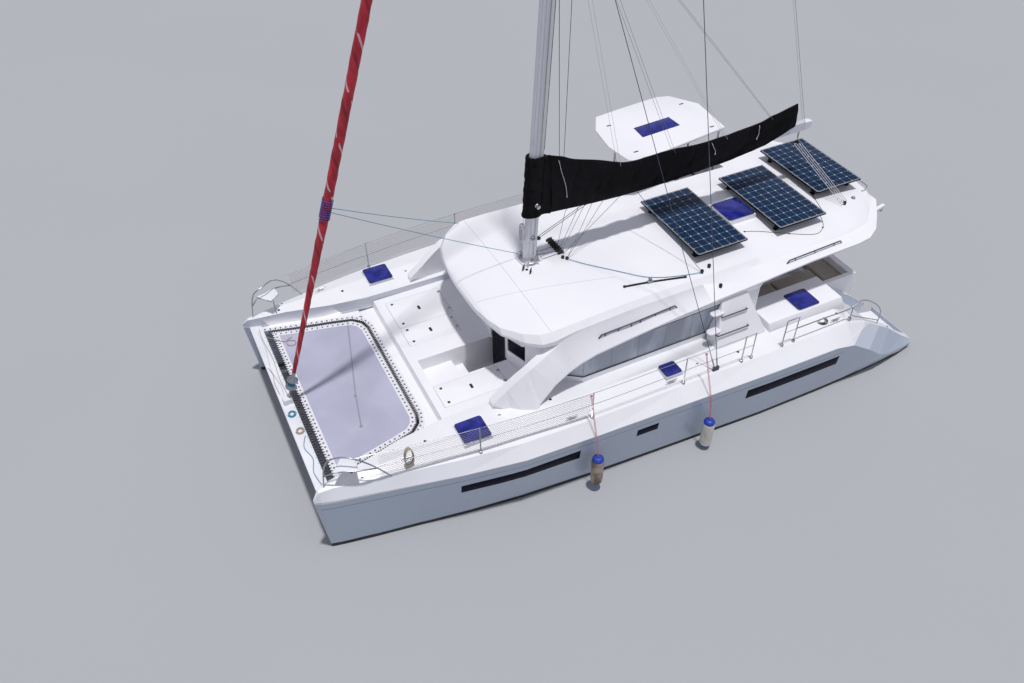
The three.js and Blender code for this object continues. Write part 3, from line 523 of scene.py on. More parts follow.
# Glass
# Tinted panes let into the cabin walls. The side panes wear pale woven sunscreens with seams and
# have a black gasket round them; the front panes and the doors are bare dark glass.
def finish_sunscreen():
    mat = Finish("woven_sunscreen")
    weave = mat.node("ShaderNodeTexVoronoi", values={"Vector": mat.place, "Scale": 260.0})
    slack = mat.cloud(1.6, 3.0, (1.6, 1, 0.5))
    seam = 1 - mat.x.saw(0.62).edge(0.012, 0.03)
    glare = slack.edge(0.42, 0.72)
    tone = mat.mix(glare, (0.34, 0.38, 0.44), (0.56, 0.61, 0.68))
    tone = mat.mix(seam * 0.35, tone, (0.16, 0.18, 0.21))
    return mat.done(tone, 0.42 + 0.2 * slack, mat.bump(slack * 6 + weave * 0.4 + seam, 0.006, 0.5))


def finish_gasket():
    mat = Finish("black_gasket")
    dust = mat.cloud(30.0, 4.0).edge(0.5, 0.8)
    tone = mat.mix(dust, (0.012, 0.012, 0.014), (0.05, 0.05, 0.055))
    return mat.done(tone, 0.55, mat.bump(dust, 0.001, 0.3))


sunscreen, gasket = finish_sunscreen(), finish_gasket()
for name in ("port_side_window", "starboard_side_window"):
    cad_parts[name].data.materials[0] = sunscreen
for name in ("front_window_starboard", "front_window_port", "forward_door", "aft_sliding_door"):
    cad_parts[name].data.materials[0] = dark_acrylic
pane_corners = [(1.632, 2.094, 2.128), (1.25, 2.378, 2.262), (1.046, 2.378, 2.329), (0.70, 2.378, 2.399),
                (-2.297, 2.378, 2.479), (-2.297, 2.378, 1.803), (1.25, 2.378, 1.795), (1.632, 2.094, 1.793)]
for sign, side in both_sides:
    trim = Shape()
    for (x, y, z), (nx, ny, nz) in zip(pane_corners, pane_corners[1:] + pane_corners[:1]):
        trim.tube([(x, sign * y, z), (nx, sign * ny, nz)], 0.009, 6)
    trim.piece(side + "_window_trim", "boat", "glass", gasket)


# Hatches
# Clear violet-blue acrylic lids with a grey aluminium rim, two black hinges forward and two black
# turn handles aft; each rides its own body.
def finish_tint():
    mat = Finish("violet_acrylic")
    deep = mat.cloud(5.0, 3.0).edge(0.3, 0.75)
    craze = mat.cloud(40.0, 5.0).edge(0.6, 0.75)
    tone = mat.mix(deep, (0.008, 0.014, 0.13), (0.030, 0.034, 0.30))
    return mat.done(mat.mix(craze * 0.35, tone, (0.16, 0.15, 0.42)), 0.07 + 0.15 * craze,
                    mat.bump(mat.cloud(6.0, 1.0), 0.002, 0.2), Coat_Weight=0.15, Specular_IOR_Level=0.3)


def finish_alloy():
    mat = Finish("grey_anodised")
    grain = mat.cloud(90.0, 3.0, (1, 1, 0.04))
    mark = mat.cloud(3.0, 5.0).edge(0.5, 0.8)
    tone = mat.mix(grain, (0.42, 0.43, 0.45), (0.60, 0.61, 0.63))
    tone = mat.mix(mark * 0.3, tone, (0.30, 0.30, 0.31))
    return mat.done(tone, 0.34 + 0.15 * mark, mat.bump(grain, 0.0006, 0.3), Metallic=0.85)


def inside(low, high, inset, radius):
    """The round-cornered outline of a box seen from above, drawn in by an inset."""
    return rounded(low.x + inset, low.y + inset, high.x - inset, high.y - inset, radius)


violet_acrylic, grey_anodised = finish_tint(), finish_alloy()
corner, rim_radius, hinge_half, handle_in = 0.05, 0.009, 0.022, 0.07
for name in ("port_bow_hatch", "starboard_bow_hatch", "port_side_hatch", "starboard_side_hatch", "roof_hatch",
             "aft_hatch"):
    low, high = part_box(name)
    lid = Shape().slab(inside(low, high, 0.012, corner), low.z + 0.008, high.z, 0.005)
    lid.piece(name + "_acrylic", name, "tint", violet_acrylic, name)
    ring = inside(low, high, 0.016, corner)
    rim = Shape().tube([(x, y, low.z + 0.012) for x, y in ring + ring[:1]], rim_radius)
    rim.piece(name + "_rim", name, "alloy", grey_anodised)
    fittings = Shape()
    middle = (low.y + high.y) / 2
    for y in (middle - 0.3 * (high.y - low.y), middle + 0.3 * (high.y - low.y)):
        fittings.block((high.x - 0.07, y - hinge_half, high.z - 0.006),
                       (high.x - 0.008, y + hinge_half, high.z + 0.004))
        fittings.turned([(0.020, -0.004), (0.020, 0.004), (0.012, 0.008), (0.0, 0.009)],
                        (low.x + handle_in, y, high.z), sides=16)
        fittings.block((low.x + 0.05, y - 0.045, high.z), (low.x + 0.075, y + 0.03, high.z + 0.008))
    fittings.piece(name + "_fittings", name, "canvas", gasket)


# Locker lids
# Three moulded lids let flush into the foredeck, with a black turn latch in each forward corner,
# a black slot handle in the middle and two hinges aft.
latch_in, hinge_in, hinge_half = 0.10, 0.14, 0.03
for name in ("starboard_outer_locker_lid", "starboard_inner_locker_lid", "port_locker_lid"):
    low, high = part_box(name)
    lid = Shape().slab(inside(low, high, 0, 0.03), low.z, high.z)
    lid.piece(name + "_moulding", name, "gelcoat", deck_gelcoat, name)
    latches = Shape()
    x = high.x - 0.12
    for y in (low.y + latch_in, high.y - latch_in):
        latches.turned([(0.030, -0.006), (0.030, 0.0015), (0.024, 0.003), (0.0, 0.0035)], (x, y, high.z))
        latches.block((x - 0.006, y - 0.022, high.z + 0.001), (x + 0.006, y + 0.022, high.z + 0.006), 0.002)
    x, y = (low.x + high.x) / 2, (low.y + high.y) / 2
    slot = rounded(x - 0.028, y - 0.065, x + 0.028, y + 0.065, 0.02)
    latches.slab(slot, high.z - 0.004, high.z + 0.003, 0.002)
    latches.piece(name + "_latches", name, "canvas", gasket)
    hinges = Shape()
    for y in (low.y + hinge_in, high.y - hinge_in):
        leaf = rounded(low.x + 0.005, y - hinge_half, low.x + 0.06, y + hinge_half, 0.008)
        hinges.slab(leaf, high.z - 0.002, high.z + 0.003, 0.001)
        hinges.tube([(low.x + 0.004, y + off, high.z) for off in (-hinge_half, hinge_half)], 0.005)
    hinges.piece(name + "_hinges", name, "alloy", grey_anodised)


# Trampoline
# A tight woven net between the hulls with a white webbing border and black eyelets, a grey strap
# athwart with two buckles, and a black line laced to the ledge and the crossbeam.
def finish_net():
    mat = Finish("woven_net")
    warp, weft = mat.x.saw(0.012), mat.y.saw(0.012)
    hole = warp.edge(0.15, 0.4) * weft.edge(0.15, 0.4)
    soil = mat.cloud(1.1, 4.0).edge(0.3, 0.8)
    tone = mat.mix(soil, (0.44, 0.44, 0.56), (0.54, 0.54, 0.66))
    return mat.done(mat.mix(hole * 0.5, tone, (0.20, 0.21, 0.28)), 0.75, mat.bump(1 - hole, 0.002, 0.6))


def finish_webbing():
    mat = Finish("white_webbing")
    rib = mat.x.saw(0.006) + mat.y.saw(0.006)
    soil = mat.cloud(6.0, 4.0).edge(0.4, 0.8)
    tone = mat.mix(soil * 0.4, (0.80, 0.80, 0.84), (0.55, 0.53, 0.50))
    return mat.done(tone, 0.7, mat.bump(rib, 0.0015, 0.5))


def finish_rope(name, first, second, pitch=0.03):
    """Braided line: two yarn colours crossing along the wrap."""
    mat = Finish(name)
    u, v = mat.wrapped()
    one = (u * 2 + v * (1 / pitch)).saw(1.0).edge(0.12, 0.35)
    two = (u * 2 - v * (1 / pitch)).saw(1.0).edge(0.12, 0.35)
    braid = one * 0.5 + two * 0.5
    soil = mat.cloud(8.0, 4.0).edge(0.45, 0.8)
    tone = mat.mix(braid, first, second)
    return mat.done(mat.mix(soil * 0.3, tone, (0.25, 0.22, 0.18)), 0.8, mat.bump(braid, 0.002, 0.8))


woven_net, white_webbing = finish_net(), finish_webbing()
black_line = finish_rope("black_line", (0.012, 0.012, 0.015), (0.05, 0.05, 0.06))
net_edge = [(4.44, 1.42), (4.50, 1.61), (4.66, 1.765), (5.0, 1.86), (5.9, 2.07), (6.29, 2.18)]
net_z = 1.317


def net_half(x):
    """Half the net's width there."""
    for (x0, y0), (x1, y1) in zip(net_edge, net_edge[1:]):
        if x <= x1:
            return y0 + (y1 - y0) * max(0.0, x - x0) / (x1 - x0)
    return net_edge[-1][1]


def net_dip(x, y):
    """How far the net hangs below its edge, in metres."""
    return 0.045 * (1 - ((x - 5.36) / 0.93) ** 2) * max(0.0, 1 - (y / net_half(x)) ** 2) ** 0.8


net = Shape()
rings = []
for i in range(41):
    x = 4.44 + 1.85 * i / 40
    upper = [(x, y, net_z - net_dip(x, y)) for y in (net_half(x) * (k / 30 - 1) for k in range(61))]
    rings.append(upper + [(x, y, z - 0.003) for x, y, z in reversed(upper)])
net.skin(rings)
net_piece = net.piece("net", "boat", "net", woven_net, "trampoline", smooth=60)


class Run(Bench):
    """A geometry tree in the making, with named sizes."""

    def __init__(self, name, **sizes):
        super().__init__(bpy.data.node_groups.new(name, "GeometryNodeTree"))
        doors = self.tree.interface
        doors.new_socket("Geometry", in_out="INPUT", socket_type="NodeSocketGeometry")
        for size in sizes:
            doors.new_socket(size, in_out="INPUT", socket_type="NodeSocketFloat")
        doors.new_socket("Geometry", in_out="OUTPUT", socket_type="NodeSocketGeometry")
        entry = self.tree.nodes.new("NodeGroupInput")
        self.start = Wire(self, entry.outputs[0])
        self.size = {size: Wire(self, entry.outputs[size]) for size in sizes}
        self.sizes = sizes

    def made_on(self, source, geometry, name, body, slot, finish):
        """Ends the tree, works it on a source object and turns the result into a plain piece."""
        real = self.node("GeometryNodeRealizeInstances", values={0: geometry})
        last = self.node("GeometryNodeSetMaterial", values={"Geometry": real, "Material": finish})
        way_out = self.tree.nodes.new("NodeGroupOutput")
        self.tree.links.new(last.socket, way_out.inputs[0])
        work = source.modifiers.new("run", "NODES")
        work.node_group = self.tree
        for item in self.tree.interface.items_tree:
            if item.in_out == "INPUT" and item.name in self.sizes:
                work[item.identifier] = float(self.sizes[item.name])
        mesh = baked(source)
        source.modifiers.remove(work)
        bpy.data.objects.remove(source)
        shade(mesh, 40)
        return settle(placed(name, mesh), body, slot, finish)


def path_object(*paths):
    """Loose curves through points, for a run to follow."""
    curve = bpy.data.curves.new("path", "CURVE")
    curve.dimensions = "3D"
    for path in paths:
        spline = curve.splines.new("POLY")
        spline.points.add(len(path) - 1)
        for point, p in zip(spline.points, path):
            point.co = (*p, 1)
    return placed("path", curve)


def repeat(path, part, spacing, name, slot, finish):
    """Copies of a small part, set along a path a spacing apart, their X axis along it."""
    stamp_mesh = bpy.data.meshes.new("stamp")
    stamp_mesh.from_pydata(part.points, [], part.faces)
    stamp = placed("stamp", stamp_mesh)
    run = Run(name + "_run", Spacing=spacing)
    marks = run.node("GeometryNodeCurveToPoints", {"mode": "LENGTH"},
                     {"Curve": run.start, "Length": run.size["Spacing"]})
    way = Wire(run, marks.socket.node.outputs["Tangent"])
    turn = run.node("FunctionNodeAlignRotationToVector", {"axis": "X", "pivot_axis": "Z"}, {"Vector": way})
    copy = run.node("GeometryNodeObjectInfo", values={"Object": stamp}, out=4)
    set_out = run.node("GeometryNodeInstanceOnPoints",
                       values={"Points": marks, "Instance": copy, "Rotation": turn})
    run.made_on(path_object(path), set_out, name, "boat", slot, finish)
    bpy.data.objects.remove(stamp)


def inset_line(outline, by, z):
    """A closed outline moved inwards, as 3D points."""
    made = []
    count = len(outline)
    for i in range(count):
        a, p, b = (Vector(outline[(i + k) % count]) for k in (-1, 0, 1))
        one, two = (p - a).normalized(), (b - p).normalized()
        n1, n2 = Vector((-one.y, one.x)), Vector((-two.y, two.x))
        across = (n1 + n2).normalized()
        q = p + across * by / max(0.3, across.dot(n1))
        made.append((q.x, q.y, z))
    return made


def arc(centre, one, two, count, first=0, last=360):
    """Points round a centre; one and two reach from it to its points at 0 and 90 degrees."""
    centre, one, two = Vector(centre), Vector(one), Vector(two)
    turns = (math.radians(first + (last - first) * k / count) for k in range(count + 1))
    return [centre + one * math.cos(t) + two * math.sin(t) for t in turns]


edge_line = [(x, -y) for x, y in net_edge] + [(x, y) for x, y in reversed(net_edge)]
outer, inner = inset_line(edge_line, -0.022, net_z), inset_line(edge_line, 0.105, net_z)
border = Shape().skin([[(o[0], o[1], net_z - 0.006), (o[0], o[1], net_z + 0.005), (i[0], i[1], net_z + 0.005),
                        (i[0], i[1], net_z - 0.012)] for o, i in zip(outer + outer[:1], inner + inner[:1])],
                      caps=False)
border.piece("net_border", "boat", "net", white_webbing, smooth=40)
ledge_z = 1.333


def beside(by, z):
    """The three laced sides of the net, moved outwards."""
    whole = inset_line(edge_line, -by, z)
    half = len(net_edge)
    return whole[half:] + whole[:half]


near, far = beside(0.075, ledge_z), beside(0.185, ledge_z)
flange = Shape().skin([[(n[0], n[1], ledge_z - 0.004), (n[0], n[1], ledge_z + 0.003),
                        (f[0], f[1], ledge_z + 0.003), (f[0], f[1], ledge_z - 0.030)]
                       for n, f in zip(near, far)])
flange.piece("ledge_flange", "boat", "net", white_webbing, smooth=40)
eyelet = Shape().tube(arc((0, 0, 0), (0.013, 0, 0), (0, 0.013, 0), 10), 0.0065, 5)
net_ring = inset_line(edge_line, 0.050, net_z + 0.007)
repeat(net_ring + net_ring[:1], eyelet, 0.11, "net_eyelets", "net", gasket)
repeat(beside(0.125, ledge_z + 0.006), eyelet, 0.11, "ledge_eyelets", "net", gasket)
lace_radius = 0.0055
lace = Shape()
lace.tube([(-0.025, -0.048, 0.0), (-0.012, 0.0, 0.010), (0.0, 0.048, 0.004)], lace_radius, 5)
lace.tube([(0.0, 0.048, 0.004), (0.012, 0.0, 0.014), (0.025, -0.048, 0.0)], lace_radius, 5)
repeat(beside(0.048, 1.332), lace, 0.050, "side_lacing", "net", black_line)
wide_lace = Shape()
wide_lace.tube([(-0.035, -0.085, 0.0), (0.0, 0.075, 0.012)], lace_radius, 5)
wide_lace.tube([(0.0, 0.075, 0.012), (0.035, -0.085, 0.0)], lace_radius, 5)
repeat([(6.365, 2.12, 1.330), (6.365, -2.12, 1.330)], wide_lace, 0.07, "forward_lacing", "net", black_line)

seam_line = [(4.74, -1.80), (5.276, 0.301), (5.457, 1.192)]
strap_path = []
for (ax, ay), (bx, by) in zip(seam_line, seam_line[1:]):
    strap_path += [(ax + (bx - ax) * k / 12, ay + (by - ay) * k / 12) for k in range(13)]
strap_edge = ((-0.014, 0.001), (-0.012, 0.006), (0.012, 0.006), (0.014, 0.001))
strap = Shape().skin([[(x + dx, y, net_z - net_dip(x, y) + dz) for dx, dz in strap_edge]
                      for x, y in strap_path])
grey_strap = finish_rope("grey_strap", (0.24, 0.26, 0.33), (0.34, 0.36, 0.42), 0.02)
strap.piece("net_strap", "boat", "net", grey_strap)
buckle = Shape()
for x, y in ((5.29, 0.35), (5.46, 1.19)):
    z = net_z - net_dip(x, y) + 0.008
    buckle.tube(arc((x, y, z), (0.03, 0, 0), (0, 0.022, 0), 12), 0.004, 6)
    buckle.block((x - 0.03, y - 0.004, z - 0.003), (x + 0.03, y + 0.004, z + 0.005), 0.002)
buckle.piece("net_buckles", "boat", "steel", grey_anodised)


# Rails and standing rigging
# Polished stainless tube for the pulpits, the stanchions with their two wires and the stern rails; the
# shrouds are wire whose dark blue colour is a painted reflection of dark water, each set up by a turnbuckle
# on its chainplate.
def finish_steel(name="polished_steel", bright=(0.44, 0.45, 0.48), tarnished=(0.30, 0.28, 0.26)):
    mat = Finish(name)
    swirl = mat.cloud(40.0, 3.0)
    tarnish = mat.cloud(3.5, 5.0).edge(0.5, 0.8)
    tone = mat.mix(tarnish, bright, tarnished)
    return mat.done(tone, 0.26 + 0.10 * swirl + 0.15 * tarnish, mat.bump(swirl, 0.0004, 0.2), Metallic=0.95)


def finish_wire():
    mat = Finish("covered_wire")
    strand = (mat.z + mat.x * 0.3).saw(0.03)
    worn = mat.cloud(6.0, 4.0).edge(0.4, 0.8)
    # Painted reflection: the wire is coloured dark blue to stand for the dark water it reflects.
    tone = mat.mix(worn, (0.05, 0.055, 0.09), (0.11, 0.11, 0.14))
    return mat.done(tone, 0.45, mat.bump(strand, 0.001, 0.4), Metallic=0.4)


polished_steel, covered_wire = finish_steel(), finish_wire()
for name in ("pulpit", "lifelines", "pushpit", "shrouds"):
    for sign, side in both_sides:
        dress(f"{side}_{name}", "boat", "steel", covered_wire if name == "shrouds" else polished_steel, 48)
dress("helm_roof_frame", "boat", "steel", polished_steel, 48)

roof_top = surface_of("coachroof")


def top_of(tree, x, y):
    """The highest point of a surface at x, y."""
    for nudge in (0, 0.0007, -0.0011, 0.004):
        hit = tree.ray_cast(Vector((x + nudge, y + nudge, 6)), Vector((0, 0, -1)))[0]
        if hit:
            return hit
    raise ValueError(f"nothing under {x:.3f}, {y:.3f}")


def deck_at(x, y, lift=0.0):
    """A point on the side deck, or so much over it."""
    return raised(top_of(hull_top[1 if y > 0 else -1], x, y), lift)


def roof_at(x, y, lift=0.0):
    """A point on the coachroof, or so much over it."""
    return raised(top_of(roof_top, x, y), lift)


def raised(point, lift):
    """The same point, so much higher."""
    return Vector(point) + Vector((0, 0, lift))


for sign, side in both_sides:
    turnbuckles = Shape()
    for (x, y, z), (top_x, top_y, top_z) in (((-1.33, 3.23, 1.66), (0.27, 0.06, 19.3)),
                                             ((-1.27, 3.23, 1.66), (0.76, 0.06, 11.0))):
        foot = Vector((x, sign * y, z))
        way = (Vector((top_x, sign * top_y, top_z)) - foot).normalized()
        turnbuckles.tube([foot + way * t for t in (0.03, 0.06, 0.07, 0.24, 0.25, 0.28)],
                         [0.010, 0.010, 0.016, 0.016, 0.010, 0.010], 10)
        turnbuckles.tube([foot + way * t for t in (0.28, 0.42, 0.43)], [0.009, 0.009, 0.006])
    turnbuckles.piece(side + "_turnbuckles", "boat", "steel", polished_steel)

# Handrails in steel coloured dark blue-grey, a painted reflection of dark water: two on feet along the roof's
# port edge, two by the boarding steps
dark_steel = finish_steel("dark_steel", (0.13, 0.14, 0.19), (0.20, 0.21, 0.26))
grab = Shape()
for path in (((0.86, 2.30), (0.1, 2.31), (-0.80, 2.30)), ((-3.6, 2.28), (-4.97, 2.24))):
    line = [roof_at(x, y, 0.065) for x, y in path]
    first, last = (raised(a + (a - b).normalized() * 0.05, -0.062)
                   for a, b in (line[:2], (line[-1], line[-2])))
    grab.tube([first] + line + [last], 0.015, 10)
    for a, b in zip(line, line[1:]):
        for t in (0.12, 0.5, 0.88):
            p = a.lerp(b, t)
            grab.tube([p, (p.x, p.y, roof_at(p.x, p.y).z - 0.004)], [0.009, 0.013])
for a, b in (((-1.82, 2.585, 2.29), (-2.43, 2.585, 2.29)), ((-1.66, 2.735, 1.96), (-2.42, 2.735, 1.96))):
    a, b = Vector(a), Vector(b)
    off = Vector((0, -0.08, -0.02))
    grab.tube([a + off, a, a.lerp(b, 0.05), a.lerp(b, 0.95), b, b + off], 0.014, 10)
grab.piece("handrails", "boat", "steel", dark_steel)


# Mast and boom
# Oval aluminium extrusions in a pale anodised finish. The mast has a black track up its aft face,
# two winches on its sides and a round heel plate held by eight screws.
def finish_spar():
    mat = Finish("pale_spar")
    grain = mat.cloud(60.0, 3.0, (1, 1, 0.03))
    groove = abs(mat.y).edge(0.052, 0.056) * (1 - abs(mat.y).edge(0.060, 0.064))
    mark = mat.cloud(3.0, 5.0).edge(0.5, 0.8)
    tone = mat.mix(grain, (0.68, 0.69, 0.73), (0.77, 0.78, 0.82))
    tone = mat.mix(groove * 0.5, tone, (0.34, 0.34, 0.37))
    tone = mat.mix(mark * 0.25, tone, (0.42, 0.42, 0.45))
    return mat.done(tone, 0.36 + 0.15 * mark, mat.bump(grain, 0.0006, 0.3), Metallic=0.15)


pale_spar = finish_spar()
dress("mast", "boat", "alloy", pale_spar, 40)
dress("boom", "boom", "alloy", pale_spar, 40)
mast_x, mast_z, rake = 1.23, 3.08, math.tan(math.radians(3.4))


def on_mast(z, forward=0.0, port=0.0):
    """A point on the mast's raked axis at a height, or so much forward and to port of it."""
    return Vector((mast_x - (z - mast_z) * rake + forward, port, z))


mast_track = Shape().skin([[on_mast(z, forward, port) for forward, port in (
    (-0.150, -0.012), (-0.160, -0.012), (-0.160, 0.012), (-0.150, 0.012))] for z in (5.5, 12, 20.4)])
mast_track.piece("mast_track", "boat", "alloy", gasket)
heel = Shape()
heel.turned([(0.205, 0.0), (0.205, 0.012), (0.185, 0.022)], (1.235, 0, 3.081), sides=28)
for t in range(20, 380, 45):
    screw_at = (1.235 + 0.18 * math.cos(math.radians(t)), 0.18 * math.sin(math.radians(t)), 3.10)
    heel.turned([(0.012, 0), (0.012, 0.008), (0.0, 0.010)], screw_at, sides=6)
heel.piece("mast_heel_plate", "boat", "alloy", grey_anodised)
winches = Shape()
for z, port in ((3.62, 1), (3.85, -1)):
    winches.turned([(0.052, 0.0), (0.052, 0.012), (0.036, 0.03), (0.032, 0.05), (0.036, 0.075), (0.048, 0.09),
                    (0.048, 0.10), (0.02, 0.105)], on_mast(z, 0.0, port * 0.092), (0, port, 0), 20)
winches.piece("mast_winches", "boat", "steel", polished_steel)


# Sail bag and mast collar
# Black acrylic canvas sewn in panels: the bag hangs from lazy jacks over the boom with the
# flaked sail inside, closed by a zip along its ridge; the collar wraps the front of the mast.
def finish_canvas():
    mat = Finish("black_canvas")
    weave = mat.x.saw(0.0025) + mat.z.saw(0.0025)
    fade = mat.cloud(1.4, 5.0, (0.5, 1, 1.6)).edge(0.35, 0.8)
    dust = mat.cloud(16.0, 6.0).edge(0.55, 0.8)
    up = mat.upward().edge(0.1, 0.9)
    seam = 1 - mat.x.saw(1.24).edge(0.004, 0.010)
    folds = mat.cloud(2.2, 4.0, (1.4, 1, 0.55)) * 6
    tone = mat.mix(fade, (0.0025, 0.0025, 0.004), (0.007, 0.007, 0.010))
    tone = mat.mix(dust * up * 0.16, tone, (0.07, 0.07, 0.075))
    tone = mat.mix(seam * 0.5, tone, (0.022, 0.022, 0.026))
    return mat.done(tone, 0.62 + 0.2 * dust, mat.bump(folds + weave * 0.2 - seam, 0.030, 0.9),
                    Specular_IOR_Level=0.10)


def smooth_line(points, steps):
    """A smooth run through points, by cubic pieces."""
    points = [Vector(p) for p in points]
    made = []
    for i in range(len(points) - 1):
        p = [points[max(0, min(len(points) - 1, i + k))] for k in (-1, 0, 1, 2)]
        for s in range(steps):
            t = s / steps
            made.append(0.5 * (2 * p[1] + (p[2] - p[0]) * t + (2 * p[0] - 5 * p[1] + 4 * p[2] - p[3]) * t * t
                               + (3 * p[1] - p[0] - 3 * p[2] + p[3]) * t ** 3))
    return made + [points[-1]]


black_canvas = finish_canvas()
bag_front_x, bag_back_x = 0.83, -5.15
jack_x = (0.55, -0.75, -2.05, -3.35, -4.5)
# Columns: x, bottom z, top z, half width at the bottom, half width at the top
bag_rows = [(0.83, 4.11, 5.35, 0.16, 0.10), (-0.12, 4.05, 5.00, 0.19, 0.09), (-0.82, 4.02, 4.74, 0.20, 0.085),
            (-2.0, 4.03, 4.71, 0.20, 0.085), (-3.4, 4.10, 4.68, 0.18, 0.075), (-4.4, 4.20, 4.82, 0.13, 0.06),
            (-5.15, 4.42, 4.97, 0.08, 0.035)]


def bag_at(x):
    """The bag's bottom and top z and its half widths there."""
    for a, b in zip(bag_rows, bag_rows[1:]):
        if x >= b[0]:
            t = (x - a[0]) / (b[0] - a[0])
            return [u + (v - u) * t for u, v in zip(a, b)][1:]
    return bag_rows[-1][1:]


def pull_at(x):
    """How hard the lazy jacks draw on the bag: 1 at a jack, 0 well away from all."""
    return max(math.exp(-((x - j) / 0.16) ** 2) for j in jack_x)


def scallop(x):
    """The slow rise and fall of the bag's top edge, from 0 to 1."""
    return 0.5 + 0.5 * math.sin(x * 4.1)


rings = []
for i in range(151):
    x = bag_front_x - (bag_front_x - bag_back_x) * i / 150
    low, high, bottom, top = bag_at(x)
    tall, pull = high - low, pull_at(x)
    slack = (1 - pull) * min(1, (bag_front_x - x) * 3) * min(1, (x - bag_back_x) * 3)
    ridge = high - 0.035 * slack * scallop(x)
    side = [(0, low), (0.62 * bottom, low + 0.012), (0.98 * bottom, low + 0.16 * tall),
            (bottom * 0.96, low + 0.36 * tall), (0.5 * (bottom + top) - 0.01 * pull, low + 0.62 * tall),
            (top, ridge - 0.09), (top * 0.62, ridge - 0.035), (0.012, ridge)]
    half = smooth_line([(0, y, z) for y, z in side], 4)
    ring = []
    for sign, climb in ((1, half), (-1, half[:0:-1])):
        for p in climb:
            share = (p.z - low) / tall
            belly = math.sin(math.pi * min(1, max(0, share)))
            fold = (0.016 * math.sin(9 * x + 5 * share * sign) + 0.010 * math.sin(23 * x + 9 * share)
                    + 0.012 * math.sin(3.1 * x + 14 * share)) * belly * (0.35 + slack)
            y = max(0.0, abs(p.y) + fold - 0.020 * pull * belly) if abs(p.y) > 0.02 else abs(p.y)
            ring.append((x, sign * y, p.z))
    rings.append(ring)
Shape().skin(rings).piece("bag", "boom", "canvas", black_canvas, "sail_bag", smooth=55)
zip_path = [(x, 0, bag_at(x)[1] - 0.006 - 0.035 * scallop(x) * (1 - pull_at(x)))
            for x in (0.80 - 5.9 * k / 90 for k in range(91))]
Shape().tube(zip_path, 0.009, 6).piece("bag_zip", "boom", "canvas", gasket)

# The bag's front, from the end of the bag to the mast, as a piece of its own that rides no body
front_x, front_z = 0.845, 4.14
rings = []
for i in range(7):
    t = i / 6
    ring = []
    for k in range(25):
        z = front_z + (1.18 + 0.06 * t) * k / 24
        wide = 0.155 - 0.055 * k / 24
        wide += (0.118 - wide) * t - 0.016 * math.sin(math.pi * t) * (1 + 0.4 * math.sin(11 * z))
        ring.append((front_x + (on_mast(z).x - 0.128 - front_x) * t, wide, z))
    rings.append(ring + [(x, -y, z) for x, y, z in reversed(ring)])
front = Shape().skin(rings).piece("bag_front", None, "canvas", black_canvas, smooth=60)
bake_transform(front)

around = [math.radians(-122 + 244 * k / 36) for k in range(37)]
rings = []
for i in range(41):
    z = 4.13 + 1.285 * i / 40
    wave = 0.006 * math.sin(z * 17) + 0.004 * math.sin(z * 41)
    lip = 0.0032 if i in (0, 1, 39, 40) else 0.0
    ring = []
    for t in around:
        out = 1.0 + (wave * math.sin(3 * t + z * 5) + lip) * 6
        ring.append(on_mast(z, 0.215 * math.cos(t) * out, 0.145 * math.sin(t) * out))
    rings.append(ring + [on_mast(z, 0.150 * math.cos(t), 0.100 * math.sin(t)) for t in reversed(around)])
Shape().skin(rings).piece("collar", "boat", "canvas", black_canvas, "mast_collar", smooth=50)


# Furled headsail
# The sail wound on its foil, with a red sun strip outside, so its edge climbs in a spiral; the
# drum at its foot carries the furling line.
spiral = 1.15


def finish_sail():
    mat = Finish("red_sun_strip")
    u, v = mat.wrapped()
    # Painted shade: a dark band along the spiral where the edge of each lap steps over the one under it.
    lap = 1 - (u + v * spiral).saw(1.0).edge(0.01, 0.10)
    crease = mat.cloud(9.0, 4.0, (1, 1, 0.5)).edge(0.35, 0.75)
    weave = mat.cloud(300.0, 1.0)
    thread = (abs((u + v * spiral + 0.62).saw(1.0) - 0.02) < 0.018) * (mat.cloud(5.0, 2.0) > 0.42)
    tone = mat.mix(crease, (0.34, 0.008, 0.020), (0.56, 0.022, 0.045))
    tone = mat.mix(lap * 0.75, tone, (0.13, 0.004, 0.014))
    tone = mat.mix(thread * 0.7, tone, (0.72, 0.60, 0.62))
    return mat.done(tone, 0.72, mat.bump(crease * 2 + weave * 0.2 - lap * 2, 0.006, 0.5), Sheen_Weight=0.1)


stay_z, wound_from, wound_to = 1.56, 2.085, 18.2
stay_foot, stay_way = Vector((6.482, 0, stay_z)), Vector((-0.348, 0, 1)).normalized()
stay_out, stay_side = Vector((1, 0, 0.348)).normalized(), Vector((0, 1, 0))


def up_stay(z):
    """How far up the stay from its foot a height is."""
    return (z - stay_z) / stay_way.z


def on_stay(s, radius=0.0, turn=0.0):
    """A point so far up the stay, or off it by a radius at a turn."""
    return stay_foot + stay_way * s + radius * (math.cos(turn) * stay_out + math.sin(turn) * stay_side)


# Columns: lower and upper z, radius at each
furl_sizes = [(2.08, 3.6, 0.040, 0.056), (3.6, 5.4, 0.056, 0.083), (5.4, 9.0, 0.083, 0.085),
              (9.0, 17.8, 0.085, 0.058), (17.8, 18.3, 0.058, 0.012)]
rings, wraps = [], []
for i in range(321):
    s = up_stay(wound_from) + i * (wound_to - wound_from) / stay_way.z / 320
    z = stay_z + s * stay_way.z
    size = next(a + (b - a) * (z - low) / (high - low) for low, high, a, b in furl_sizes if z <= high)
    ring = []
    for k in range(28):
        t = k / 28
        lap = (t + s * spiral) % 1.0
        r = size * (0.955 + 0.075 * lap - 0.03 * max(0, lap - 0.93) / 0.07)
        r += 0.002 * math.sin(19 * s + 12 * t)
        ring.append(on_stay(s, r, 2 * math.pi * t))
    rings.append(ring)
    wraps.append(s)
furl = Shape().skin(rings, wraps)
furl.tube([on_stay(up_stay(z)) for z in (18.15, 19.32)], 0.008)
furl.piece("furled_sail", "boat", "red", finish_sail(), "furled_headsail", smooth=60)
dress("furler_drum", "boat", "steel", polished_steel, 40)


